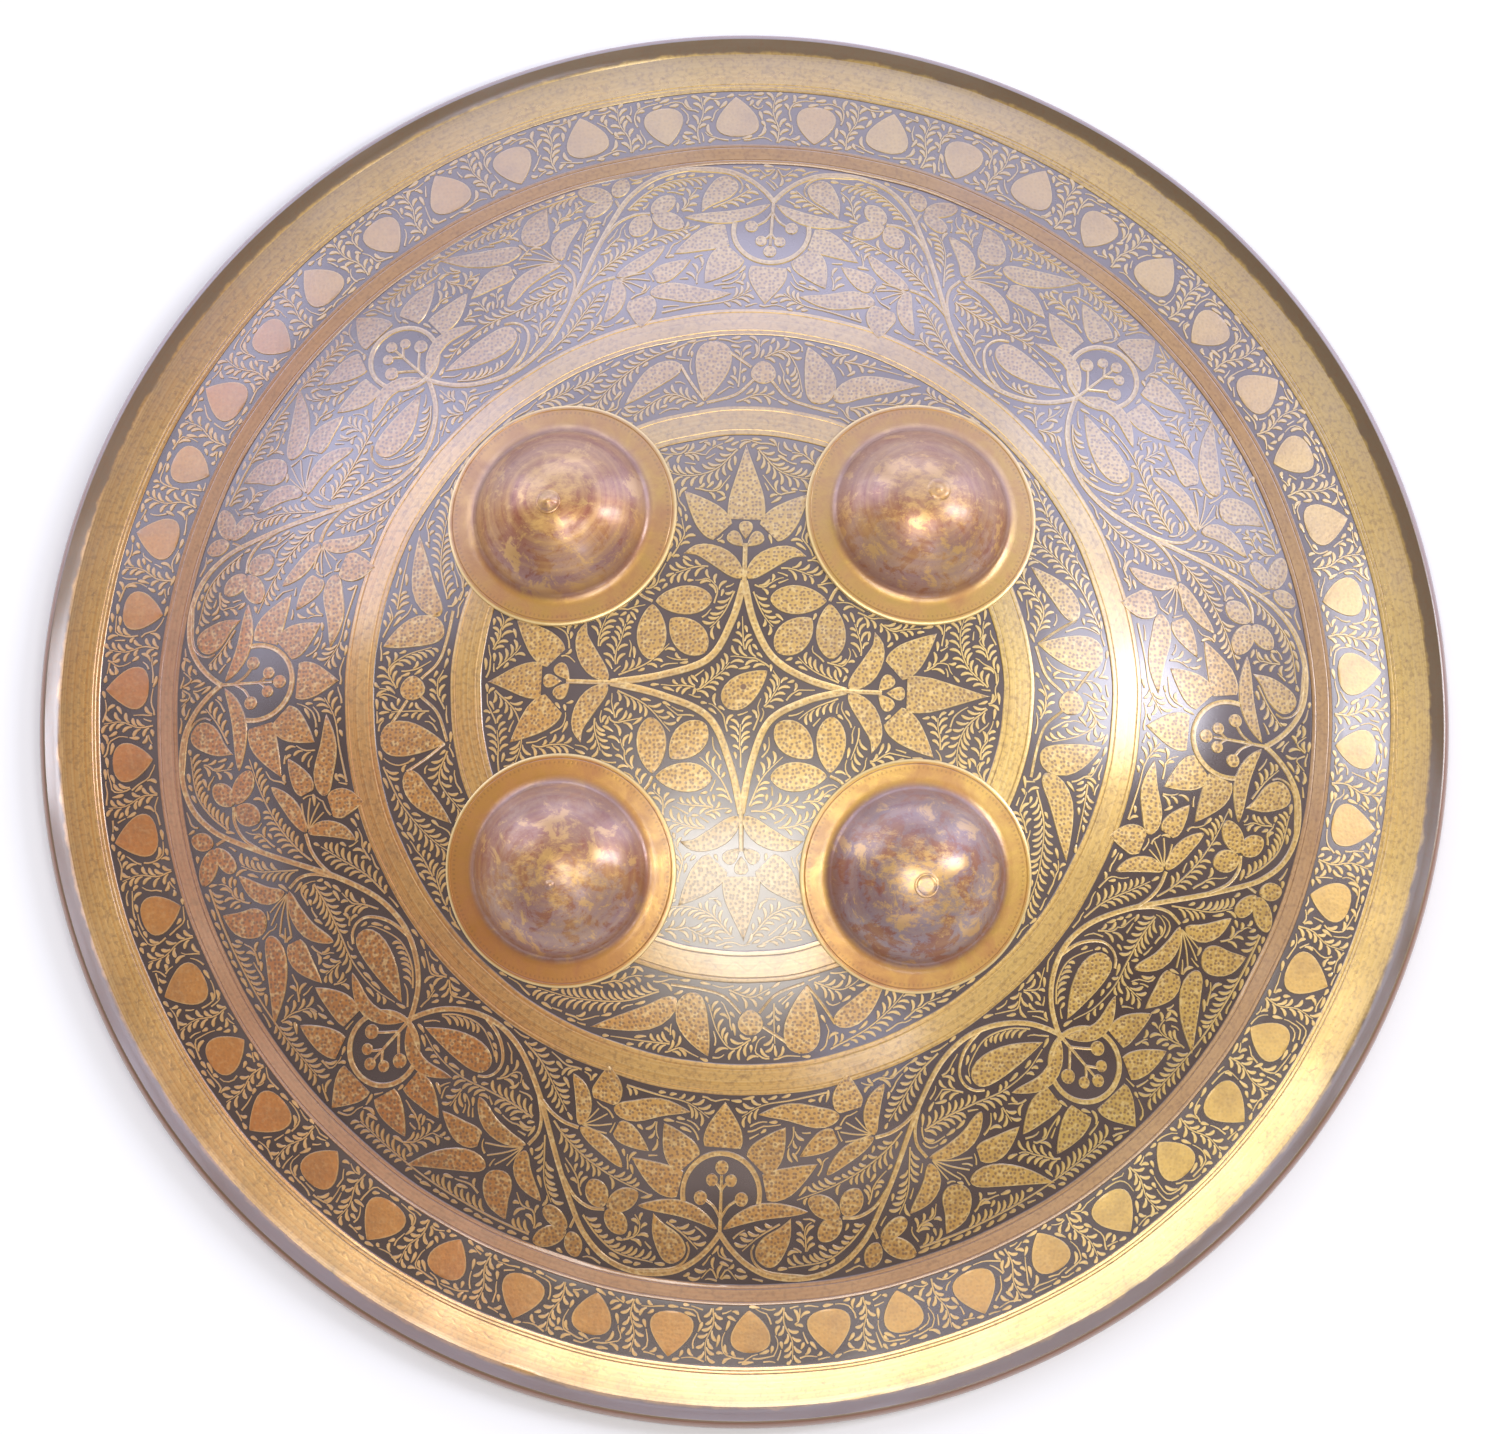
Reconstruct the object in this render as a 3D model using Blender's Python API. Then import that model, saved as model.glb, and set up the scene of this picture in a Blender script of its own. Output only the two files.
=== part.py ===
"""A dhal: a round brass shield, lying on its rim with the domed face up.

The origin is the centre of the circle on which the rim rests, +Z is the
axis of the dome, and +Y points to the top of the shield as it is carried.
The face steps down from the dome through engraved bands to a rolled rim.
Four hollow bosses are riveted through the dome on the diagonals.
"""
import math

import bmesh
import bpy
from mathutils import Matrix, Vector

MM = 0.001

# Face of the shield, from the rim inwards
RIM_RADIUS = 200.0 * MM
ROLL_WIDTH = 5.1 * MM
ROLL_HEIGHT = 8.0 * MM
REST_WIDTH = 3.0 * MM
PLAIN_BAND_WIDTH = 11.9 * MM
PLAIN_BAND_SLOPE = math.radians(3.5)
BORDER_WIDTH = 16.6 * MM
BORDER_SLOPE = math.radians(16.0)
OUTER_RING_WIDTH = 5.9 * MM
OUTER_RING_SLOPE = math.radians(7.0)
DOME_RISE = 50.5 * MM
DOME_FULLNESS = 0.43

# Two rings that divide the dome, and the depth that the engraver cut the
# ground beside them
MIDDLE_RING_INNER = 102.6 * MM
MIDDLE_RING_WIDTH = 8.4 * MM
INNER_RING_INNER = 72.2 * MM
INNER_RING_WIDTH = 8.8 * MM
ENGRAVED_DEPTH = 0.3 * MM
ENGRAVED_EDGE = 0.3 * MM
SHEET = 2.0 * MM

# Bosses: a hollow cap with a thin flange that follows the dome
BOSS_RADIUS = 32.4 * MM
BOSS_FLANGE = 1.0 * MM
BOSS_CAP_RADIUS = 24.6 * MM
BOSS_CAP_HEIGHT = 15.0 * MM
BOSS_SHEET = 1.2 * MM
BOSS_FILLET = 1.2 * MM

# Rivets, one through the middle of each boss, clenched on the back
RIVET_RADIUS = 1.8 * MM
RIVET_HEAD_RADIUS = 3.4 * MM
RIVET_TAIL_RADIUS = 4.6 * MM
RIVET_TAIL_HEIGHT = 1.6 * MM

# Space between pieces that touch
CLEARANCE = 0.3 * MM

# Facets around each kind of turned piece, and along the curves
BOWL_FACETS = 56
BOSS_FACETS = 24
RIVET_FACETS = 10
DOME_STEP = 16.0 * MM
ROLL_STEPS = 5
CAP_STEPS = 6
CAP_INNER_STEPS = 4

# Each boss: direction from the centre, the head of its rivet, and how far
# the rivet was set off the middle, to the right and up, by hand
BOSSES = {
    "upper_left": (135.0, "button", (-0.6 * MM, -2.1 * MM)),
    "upper_right": (45.0, "worn", (2.3 * MM, 1.6 * MM)),
    "lower_left": (225.0, "nub", (0.0, -3.6 * MM)),
    "lower_right": (313.0, "disc", (0.4 * MM, -2.1 * MM)),
}

# Rivet heads, as (share of the head's radius, height) from the edge inwards
HEADS = {
    "button": ((1.0, 0.5 * MM), (0.75, 1.2 * MM), (0.3, 2.3 * MM)),
    "worn": ((0.9, 0.3 * MM), (0.7, 0.9 * MM), (0.3, 1.1 * MM)),
    "nub": ((0.5, 0.3 * MM), (0.42, 0.8 * MM), (0.2, 1.0 * MM)),
    "disc": ((1.0, 0.3 * MM), (0.9, 0.6 * MM), (0.4, 0.6 * MM)),
}

# Colour, roughness and metallic value of each finish
FINISHES = {
    "engraved_brass": ((0.45, 0.28, 0.12, 1.0), 0.38, 1.0),
    "patinated_brass": ((0.32, 0.15, 0.09, 1.0), 0.42, 1.0),
    "rivet_brass": ((0.40, 0.23, 0.12, 1.0), 0.40, 1.0),
}

# Radii and heights that follow from the sizes above
ROLL_INNER = RIM_RADIUS - ROLL_WIDTH
PLAIN_BAND_INNER = ROLL_INNER - PLAIN_BAND_WIDTH
BORDER_INNER = PLAIN_BAND_INNER - BORDER_WIDTH
DOME_RADIUS = BORDER_INNER - OUTER_RING_WIDTH
MIDDLE_RING_OUTER = MIDDLE_RING_INNER + MIDDLE_RING_WIDTH
INNER_RING_OUTER = INNER_RING_INNER + INNER_RING_WIDTH
BORDER_FOOT = ROLL_HEIGHT + PLAIN_BAND_WIDTH * math.tan(PLAIN_BAND_SLOPE)
RING_FOOT = BORDER_FOOT + BORDER_WIDTH * math.tan(BORDER_SLOPE)
DOME_FOOT = RING_FOOT + OUTER_RING_WIDTH * math.tan(OUTER_RING_SLOPE)


def clear_scene():
    """Remove every object of the scene that the script starts in."""
    for thing in list(bpy.data.objects):
        bpy.data.objects.remove(thing, do_unlink=True)


def material(name):
    """A Principled material with the colour and polish of a finish."""
    colour, roughness, metallic = FINISHES[name]
    made = bpy.data.materials.get(name) or bpy.data.materials.new(name)
    made.use_nodes = True
    shader = made.node_tree.nodes["Principled BSDF"]
    shader.inputs["Base Color"].default_value = colour
    shader.inputs["Roughness"].default_value = roughness
    shader.inputs["Metallic"].default_value = metallic
    return made


def dome_height(radius):
    """Height of the dome: a parabola mixed with a fuller fourth power."""
    share = (radius / DOME_RADIUS) ** 2
    fall = (1.0 - DOME_FULLNESS) * share + DOME_FULLNESS * share * share
    return DOME_FOOT + DOME_RISE * (1.0 - fall)


def dome_slope(radius):
    """Rise over run of the dome, a positive number that grows outwards."""
    share = (radius / DOME_RADIUS) ** 2
    steepness = (1.0 - DOME_FULLNESS) + 2.0 * DOME_FULLNESS * share
    return 2.0 * DOME_RISE * steepness * radius / DOME_RADIUS ** 2


def boss_circle_radius():
    """Radius on which the flanges just clear the middle ring."""
    radius = MIDDLE_RING_INNER - BOSS_RADIUS
    for _ in range(8):
        reach = BOSS_RADIUS * math.cos(math.atan(dome_slope(radius)))
        radius = MIDDLE_RING_INNER - CLEARANCE - reach
    return radius


def spread(start, end, longest):
    """Even steps from start to end, none longer than asked, without start."""
    count = max(1, math.ceil(abs(end - start) / longest - 1e-6))
    return [start + (end - start) * step / count for step in range(1, count + 1)]


def dome_stretch(start, end, raised=0.0):
    """Points of the dome from one radius out to another."""
    return [(radius, dome_height(radius) + raised)
            for radius in spread(start, end, DOME_STEP)]


def face_outline():
    """The face from its top down to the crease of the rim, ground cut back."""
    points = [(0.0, dome_height(0.0) - ENGRAVED_DEPTH)]
    reached = 0.0
    rings = ((INNER_RING_INNER, INNER_RING_OUTER),
             (MIDDLE_RING_INNER, MIDDLE_RING_OUTER))
    for inner, outer in rings:
        points += dome_stretch(reached, inner, -ENGRAVED_DEPTH)
        points.append((inner + ENGRAVED_EDGE, dome_height(inner + ENGRAVED_EDGE)))
        points.append((outer - ENGRAVED_EDGE, dome_height(outer - ENGRAVED_EDGE)))
        points.append((outer, dome_height(outer) - ENGRAVED_DEPTH))
        reached = outer
    points += dome_stretch(reached, DOME_RADIUS, -ENGRAVED_DEPTH)
    points += [
        (DOME_RADIUS + ENGRAVED_EDGE, DOME_FOOT),
        (BORDER_INNER - ENGRAVED_EDGE, RING_FOOT),
        (BORDER_INNER, RING_FOOT - ENGRAVED_DEPTH),
        (PLAIN_BAND_INNER, BORDER_FOOT - ENGRAVED_DEPTH),
        (PLAIN_BAND_INNER + ENGRAVED_EDGE, BORDER_FOOT),
    ]
    return points


def roll_outline():
    """The rim: the sheet rolled down and back under, with a flat to rest on."""
    half = ROLL_HEIGHT / 2.0
    outer = []
    inner = []
    for step in range(2 * ROLL_STEPS + 1):
        turn = math.pi / 2.0 - math.pi * step / (2 * ROLL_STEPS)
        outer.append((ROLL_INNER + ROLL_WIDTH * math.cos(turn),
                      half + half * math.sin(turn)))
        inner.append((ROLL_INNER + (ROLL_WIDTH - SHEET) * math.cos(turn),
                      half + (half - SHEET) * math.sin(turn)))
    lip = [(ROLL_INNER - REST_WIDTH, 0.0), (ROLL_INNER - REST_WIDTH, SHEET)]
    return outer + lip + inner[::-2]


def back_outline():
    """The hollow back from the rim to the middle, one sheet under the face."""
    points = [(PLAIN_BAND_INNER, BORDER_FOOT - SHEET), (BORDER_INNER, RING_FOOT - SHEET)]
    for radius in [DOME_RADIUS] + spread(DOME_RADIUS, 0.0, 1.2 * DOME_STEP):
        normal = Vector((dome_slope(radius), 1.0)).normalized()
        height = dome_height(radius)
        points.append((max(0.0, radius - SHEET * normal.x), height - SHEET * normal.y))
    points[-1] = (0.0, points[-1][1])
    return points


def turned(name, outline, facets):
    """A closed solid of revolution about Z from an outline of (r, z)."""
    shape = bmesh.new()
    verts = [shape.verts.new((radius, 0.0, height)) for radius, height in outline]
    edges = [shape.edges.new(pair) for pair in zip(verts, verts[1:])]
    if outline[0][0] > 0.0:
        edges.append(shape.edges.new((verts[-1], verts[0])))
    bmesh.ops.spin(shape, geom=verts + edges, cent=(0, 0, 0), axis=(0, 0, 1),
                   angle=2.0 * math.pi, steps=facets, use_merge=True)
    bmesh.ops.remove_doubles(shape, verts=shape.verts, dist=1e-7)
    bmesh.ops.recalc_face_normals(shape, faces=shape.faces)
    mesh = bpy.data.meshes.new(name)
    shape.to_mesh(mesh)
    shape.free()
    return mesh


def placed(name, mesh, finish):
    """An object in the scene with its finish, shaded smooth over its curves."""
    piece = bpy.data.objects.new(name, mesh)
    bpy.context.collection.objects.link(piece)
    if finish is not None:
        mesh.materials.append(material(finish))
    mesh.shade_smooth()
    mesh.set_sharp_from_angle(angle=math.radians(32.0))
    return piece


def boss_frame(angle):
    """Place of a boss: on the dome at an angle, its Z along the dome's normal."""
    radius = boss_circle_radius()
    turn = math.radians(angle)
    outwards = Vector((math.cos(turn), math.sin(turn), 0.0))
    normal = (outwards * dome_slope(radius) + Vector((0, 0, 1))).normalized()
    across = Vector((0, 0, 1)).cross(outwards)
    downhill = across.cross(normal)
    seat = outwards * radius + Vector((0, 0, dome_height(radius)))
    axes = Matrix((downhill, across, normal)).transposed()
    return Matrix.Translation(seat) @ axes.to_4x4()


def drape(frame, x, y):
    """How far the dome lies from a boss's own plane, along the boss's axis."""
    height = 0.0
    for _ in range(12):
        point = frame @ Vector((x, y, height))
        radius = math.hypot(point.x, point.y)
        height += dome_height(radius) - point.z
    return height


def boss_outline():
    """A cap on a flange, hollow below, heights counted from the dome."""
    sphere = (BOSS_CAP_RADIUS ** 2 + BOSS_CAP_HEIGHT ** 2) / (2.0 * BOSS_CAP_HEIGHT)
    top = CLEARANCE + BOSS_FLANGE
    centre = top + BOSS_CAP_HEIGHT - sphere
    foot = math.asin((BOSS_CAP_RADIUS - BOSS_FILLET / 2.0) / sphere)
    points = [(sphere * math.sin(foot * step / CAP_STEPS),
               centre + sphere * math.cos(foot * step / CAP_STEPS))
              for step in range(CAP_STEPS + 1)]
    points += [(BOSS_CAP_RADIUS + BOSS_FILLET, top),
               (BOSS_RADIUS - BOSS_FLANGE / 3.0, top),
               (BOSS_RADIUS, top - BOSS_FLANGE / 3.0),
               (BOSS_RADIUS, CLEARANCE)]
    hollow = sphere - BOSS_SHEET
    mouth = math.acos((CLEARANCE - centre) / hollow)
    points += [(hollow * math.sin(mouth * step / CAP_INNER_STEPS),
                centre + hollow * math.cos(mouth * step / CAP_INNER_STEPS))
               for step in range(CAP_INNER_STEPS, -1, -1)]
    return points


def rivet_outline(head):
    """A head over the boss, a shank through the sheet, a clenched tail."""
    seat = 2.0 * CLEARANCE + BOSS_FLANGE + BOSS_CAP_HEIGHT
    back = -SHEET - CLEARANCE - drape_allowance()
    shape = HEADS[head]
    points = [(0.0, seat + shape[-1][1])]
    points += [(share * RIVET_HEAD_RADIUS, seat + height)
               for share, height in reversed(shape)]
    edge = shape[0][0] * RIVET_HEAD_RADIUS
    if edge > RIVET_RADIUS:
        points.append((edge, seat))
    points += [(RIVET_RADIUS, seat), (RIVET_RADIUS, back), (RIVET_TAIL_RADIUS, back),
               (0.75 * RIVET_TAIL_RADIUS, back - 0.7 * RIVET_TAIL_HEIGHT),
               (0.0, back - RIVET_TAIL_HEIGHT)]
    return points


def drape_allowance():
    """Extra depth for a flat tail under the sheet's curve, off the middle."""
    reach = RIVET_TAIL_RADIUS + max(math.hypot(*shift) for _, _, shift in BOSSES.values())
    frame = boss_frame(0.0)
    return -min(drape(frame, reach, 0.0), drape(frame, -reach, 0.0),
                drape(frame, 0.0, reach))


def bore(piece, frame, name):
    """Cut the clearance hole of a rivet through a piece."""
    reach = BOSS_CAP_HEIGHT + BOSS_RADIUS
    outline = [(0.0, reach), (RIVET_RADIUS + CLEARANCE, reach),
               (RIVET_RADIUS + CLEARANCE, -reach), (0.0, -reach)]
    cutter = placed(name, turned(name, outline, RIVET_FACETS), None)
    cutter.matrix_world = frame
    cutter.display_type = "WIRE"
    cutter.hide_render = True
    cut = piece.modifiers.new(name, "BOOLEAN")
    cut.operation = "DIFFERENCE"
    cut.solver = "EXACT"
    cut.object = cutter


def make_bowl():
    """The shield itself: face, rolled rim and hollow back in one sheet."""
    outline = face_outline() + roll_outline() + back_outline()
    return placed("bowl", turned("bowl", outline, BOWL_FACETS), "engraved_brass")


def make_boss(place, frame):
    """A hollow boss, its flange bent to follow the dome."""
    name = "boss_" + place
    mesh = turned(name, boss_outline(), BOSS_FACETS)
    for vert in mesh.vertices:
        vert.co.z += drape(frame, vert.co.x, vert.co.y)
    piece = placed(name, mesh, "patinated_brass")
    piece.matrix_world = frame
    return piece


def make_rivet(place, head, frame):
    """The rivet that holds a boss."""
    name = "rivet_" + place
    piece = placed(name, turned(name, rivet_outline(head), RIVET_FACETS), "rivet_brass")
    piece.matrix_world = frame
    return piece


def rivet_frame(frame, shift):
    """A boss's place with its axis moved sideways, as the rivet was set."""
    offset = frame.to_3x3().inverted() @ Vector((shift[0], shift[1], 0.0))
    return frame @ Matrix.Translation((offset.x, offset.y, 0.0))


def main():
    clear_scene()
    bowl = make_bowl()
    for place, (angle, head, shift) in BOSSES.items():
        frame = boss_frame(angle)
        boss = make_boss(place, frame)
        axis = rivet_frame(frame, shift)
        make_rivet(place, head, axis)
        bore(bowl, axis, "bore_bowl_" + place)
        bore(boss, axis, "bore_boss_" + place)


main()
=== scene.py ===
"""Looks of a dhal, a round brass shield engraved with an arabesque.

The brass was beaten to a dome, its rim was rolled, and the ground between
the leaves was cut back and filled with dark lacquer. Four hollow bosses are
riveted on, with a red-brown patina that has been rubbed golden in places.
"""
import math

import bpy
import numpy as np
from bpy.props import FloatProperty, FloatVectorProperty, IntProperty, PointerProperty
from mathutils import Matrix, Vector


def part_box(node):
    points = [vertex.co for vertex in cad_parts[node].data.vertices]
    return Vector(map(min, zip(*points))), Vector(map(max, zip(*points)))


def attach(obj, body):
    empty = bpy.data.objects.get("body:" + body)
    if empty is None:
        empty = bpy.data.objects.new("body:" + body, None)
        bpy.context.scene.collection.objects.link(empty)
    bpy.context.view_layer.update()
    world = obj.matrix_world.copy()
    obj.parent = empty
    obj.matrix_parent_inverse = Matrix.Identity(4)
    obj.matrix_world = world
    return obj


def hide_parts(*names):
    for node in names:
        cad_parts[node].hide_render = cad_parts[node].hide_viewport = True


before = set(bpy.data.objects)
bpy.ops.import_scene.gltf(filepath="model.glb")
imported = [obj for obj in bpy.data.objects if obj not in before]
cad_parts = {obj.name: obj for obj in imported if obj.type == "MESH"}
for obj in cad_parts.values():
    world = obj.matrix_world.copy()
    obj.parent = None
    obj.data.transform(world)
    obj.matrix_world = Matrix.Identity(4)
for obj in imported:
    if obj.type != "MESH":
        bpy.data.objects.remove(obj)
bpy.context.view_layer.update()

bl_info = {
    "name": "Dhal shield",
    "version": (1, 0, 0),
    "blender": (4, 5, 0),
    "location": "View3D > Sidebar > Dhal",
    "description": "Builds the engraved face, the bosses and the studio of a brass dhal",
    "category": "Object",
}

MM = 0.001
BOWL_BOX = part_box("bowl")

# Angles, in degrees from the right, at which the engraver set his flowers
OUTWARD_FLOWERS = (42.8, 133.7, 223.8, 313.4)
INWARD_FLOWERS = (-4.0, 86.6, 177.0, 267.5)
BAND_FLOWERS = (-1.5, 86.2, 178.7, 271.5)

# Fine scrolls on the rings: radius, wavelength and swing, in millimetres
SCROLLS = ((76.6, 7.5, 1.1), (106.8, 7.5, 1.1), (163.5, 8.0, 0.7), (188.5, 5.0, 0.5))

# The dot punched in the seed leaf at the very middle, in metres
SEED_DOT = (0.0006, 0.0002, 0.0)

# Where hands have rubbed the lacquer thin, below the middle of the dome, in metres.
# The pale patch there is also a painted highlight where the top light falls.
WEAR_AND_HIGHLIGHT_PLACE = (-0.002, -0.062, 0.058)

# Each boss: its direction, the head of its rivet, the rivet's offset to the
# right and up in millimetres, and how warm its patina is
BOSSES = {
    "upper_left": (135.0, "button", (-0.6, -2.1), 0.75),
    "upper_right": (45.0, "worn", (2.3, 1.6), 0.6),
    "lower_left": (225.0, "nub", (0.0, -3.6), 0.5),
    "lower_right": (313.0, "disc", (0.4, -2.1), 0.25),
}

# Ground that a boss hides, as a radius in millimetres
SEAT_COVER = 31.2

# Angle of the first leaf of the border
BORDER_START = 104.9

# Each light: its direction from the shield, its distance and its size in
# metres, its power in watts and its tint. The cool ones stand for a window's
# daylight and make the haze on the slopes. The warmer ones make the long
# highlights.
PANELS = {
    "left panel": ((-0.72, 0.52, 0.45), 2.4, (1.8, 1.4), 23.0, "#D8DEFC"),
    "low panel": ((-0.95, 0.0, 0.24), 2.4, (0.5, 1.8), 3.0, "#D8DEFC"),
    "sky panel": ((0.0, 0.95, 0.36), 2.4, (2.2, 1.0), 15.0, "#DDDEF4"),
    "far panel": ((0.74, 0.58, 0.34), 2.4, (1.9, 1.0), 14.5, "#D8DEFC"),
    "window panel": ((0.765, 0.16, 0.62), 2.2, (1.0, 0.42), 19.0, "#EFF1FF"),
    "small panel": ((0.27, -0.577, 0.769), 2.2, (0.35, 0.3), 2.5, "#D8DEFC"),
    "side panel": ((0.32, -0.16, 0.93), 2.6, (0.6, 0.5), 7.5, "#FFFEFA"),
    "high panel": ((0.0, 0.6, 0.8), 2.6, (1.6, 1.0), 4.0, "#FFF9F0"),
    "near panel": ((0.05, -0.82, 0.5), 2.4, (2.0, 0.5), 3.0, "#FFF0EC"),
    "top panel": ((-0.01, -0.1, 0.995), 3.0, (0.9, 0.45), 16.0, "#FFFEFA"),
    "front panel": ((-0.01, -0.33, 0.94), 3.0, (0.9, 0.75), 10.0, "#FFFEFA"),
}


def length(name, description, millimetres):
    """A length property in metres whose default is given in millimetres."""
    return FloatProperty(name=name, description=description, default=millimetres * MM,
                         min=0.0, unit="LENGTH", subtype="DISTANCE", precision=4)


def colour(name, description, text):
    """A colour property whose default is an sRGB hex value."""
    return FloatVectorProperty(name=name, description=description, subtype="COLOR",
                               size=4, min=0.0, max=1.0, default=linear(text))


def linear(text):
    """An sRGB hex value as linear red, green, blue and alpha."""
    shares = [int(text[start:start + 2], 16) / 255.0 for start in (1, 3, 5)]
    return tuple(share / 12.92 if share <= 0.04045 else ((share + 0.055) / 1.055) ** 2.4
                 for share in shares) + (1.0,)


class DhalFace(bpy.types.PropertyGroup):
    """Sizes of the shield's face, from the rim inwards."""

    rim_radius: FloatProperty(
        name="Rim radius", description="Radius of the shield at its widest",
        default=BOWL_BOX[1][0], unit="LENGTH", subtype="DISTANCE")
    top: FloatProperty(
        name="Top", description="Height of the cut ground at the middle of the dome",
        default=BOWL_BOX[1][2], unit="LENGTH", subtype="DISTANCE")
    roll_width: length("Roll width", "Width of the rolled rim outside its crest", 1.8)
    roll_height: length("Roll height", "Thickness of the rolled rim", 8.0)
    rest_width: length("Rest width", "Width of the flat that the rim rests on", 3.0)
    lip_width: length("Lip width", "Width of the rise from the plain band to the crest", 3.8)
    lip_height: length("Lip height", "Height of that rise", 2.6)
    band_width: length("Band width", "Width of the plain band and the rise outside it", 15.2)
    border_width: length("Border width", "Width of the leaf border", 16.6)
    outer_ring_width: length("Outer ring width", "Width of the ring at the dome's foot", 5.9)
    middle_ring: length("Middle ring", "Inner radius of the middle ring", 102.6)
    middle_ring_width: length("Middle ring width", "Width of the middle ring", 8.4)
    inner_ring: length("Inner ring", "Inner radius of the inner ring", 72.2)
    inner_ring_width: length("Inner ring width", "Width of the inner ring", 8.8)
    cut_depth: length("Cut depth", "How deep the ground is cut back", 0.3)
    sheet: length("Sheet", "Thickness of the brass", 2.0)
    band_slope: FloatProperty(
        name="Band slope", description="Fall of the plain band outwards",
        default=math.radians(6.5), subtype="ANGLE")
    border_slope: FloatProperty(
        name="Border slope", description="Fall of the leaf border outwards",
        default=math.radians(16.0), subtype="ANGLE")
    outer_ring_slope: FloatProperty(
        name="Outer ring slope", description="Fall of the ring at the dome's foot",
        default=math.radians(-3.0), subtype="ANGLE")
    fullness: FloatProperty(
        name="Fullness", description="Share of the fourth power in the dome's curve",
        default=0.43, min=0.0, max=1.0, subtype="FACTOR")
    dents: length("Dents", "Depth of the hollows that the hammer left", 0.09)
    facets: IntProperty(
        name="Facets", description="Facets around the bowl", default=384, min=64)


class DhalEngraving(bpy.types.PropertyGroup):
    """Sizes of the engraver's work."""

    border_leaves: IntProperty(
        name="Border leaves", description="Leaves around the border, in and out by turns",
        default=50, min=4)
    vine_width: length("Vine width", "Width of the main vine", 1.5)
    stem_width: length("Stem width", "Width of the fine stems", 0.56)
    comma_width: length("Comma width", "Width of the small comma strokes", 1.02)
    comma_pitch: length("Comma pitch", "Distance between the comma strokes", 1.95)
    comma_reach: length("Comma reach", "Length of a comma stroke beside a stem", 4.2)
    margin: length("Margin", "Dark ground left clear around each leaf", 0.6)
    swell: FloatProperty(
        name="Swell", description="How much fuller than drawn the broad leaves are",
        default=1.02, min=0.5, max=1.5)


class DhalBoss(bpy.types.PropertyGroup):
    """Sizes of the bosses and their rivets."""

    radius: length("Radius", "Radius of the flange", 32.4)
    flange: length("Flange", "Thickness of the flange", 1.0)
    cap_radius: length("Cap radius", "Radius of the domed cap", 24.6)
    cap_height: length("Cap height", "Height of the cap above the flange", 15.0)
    sheet: length("Sheet", "Thickness of the cap", 1.2)
    gap: length("Gap", "Space between the boss and the bowl", 0.3)
    fillet: length("Fillet", "Width of the soft foot of the cap", 2.6)
    head_radius: length("Head radius", "Radius of a rivet's head", 3.4)
    shank_radius: length("Shank radius", "Radius of a rivet's shank", 1.8)
    tail_radius: length("Tail radius", "Radius of a rivet's clenched tail", 4.6)
    facets: IntProperty(name="Facets", description="Facets around a boss", default=128, min=24)


class DhalFinish(bpy.types.PropertyGroup):
    """Colours of the brass, its patina and the lacquer."""

    brass: colour("Brass", "Aged yellow brass", "#D0AB4E")
    # Also used for the painted glints on the matting's grains
    bright: colour("Bright brass", "Brass rubbed bright on edges", "#FBE3A2")
    copper: colour("Copper tone", "Brass turned coppery by handling", "#B26A1F")
    pit: colour("Pits", "Dirt in punched pits and scratches", "#75502C")
    lacquer: colour("Lacquer", "Dark lacquer in the cut ground", "#3E2619")
    slate: colour("Slate", "Lacquer gone slate grey", "#4E3B34")
    # Colour of the painted haze, a painted reflection of daylight, also used to paint the lower
    # side of the boss caps lighter
    painted_haze: colour("Bloom", "Milky bloom of old lacquer", "#A9A7BA")
    patina: colour("Patina", "Red-brown patina of the bosses", "#9E6039")
    plum: colour("Plum patina", "Purple-grey patina of the bosses", "#886C6B")
    rubbed: colour("Rubbed brass", "Golden patches rubbed through the patina", "#D9AC62")
    rust: colour("Red-brown", "Darker red-brown stains on the bosses", "#8A4526")
    # Pale brass below the middle: partly rubbed wear, partly a painted highlight
    worn: colour("Worn brass", "Brass rubbed pale below the middle", "#B9B0A0")
    # Also used as painted shade at the foot of each boss cap
    rim: colour("Rim", "Brown patina of the rolled rim", "#8A5C40")
    # Dark brown inside the rim: partly brown oxide, partly painted shade
    tarnish_and_shade: colour("Tarnish", "Brown tarnish inside the rim", "#5E4B38")
    back: colour("Back", "Dull brown brass of the back", "#7E5C36")


class DhalStudio(bpy.types.PropertyGroup):
    """The floor, the lights and the camera."""

    floor: colour("Floor", "Pale studio floor", "#ECECEC")
    room: colour("Room", "Light of the room from all round", "#D6D2D4")
    room_strength: FloatProperty(
        name="Room strength", description="Strength of the light from all round",
        default=0.58, min=0.0)
    camera_distance: length("Camera distance", "From the lens to the shield", 2000.0)
    camera_tilt: FloatProperty(
        name="Camera tilt", description="Angle of the camera from straight above",
        default=math.radians(8.92), subtype="ANGLE")
    camera_turn: FloatProperty(
        name="Camera turn", description="Turn of the camera about the shield's axis",
        default=math.radians(4.2), subtype="ANGLE")
    pixels_per_mm: FloatProperty(
        name="Scale", description="Pixels of the photo to a millimetre at the rim",
        default=3.522)
    photo_width: IntProperty(
        name="Photo width", description="Width of the photo in pixels", default=1500)
    aim_right: length("Aim right", "Aim point to the right of the centre", 1.8)
    aim_up: length("Aim up", "Aim point above the centre", 1.3)


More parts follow.
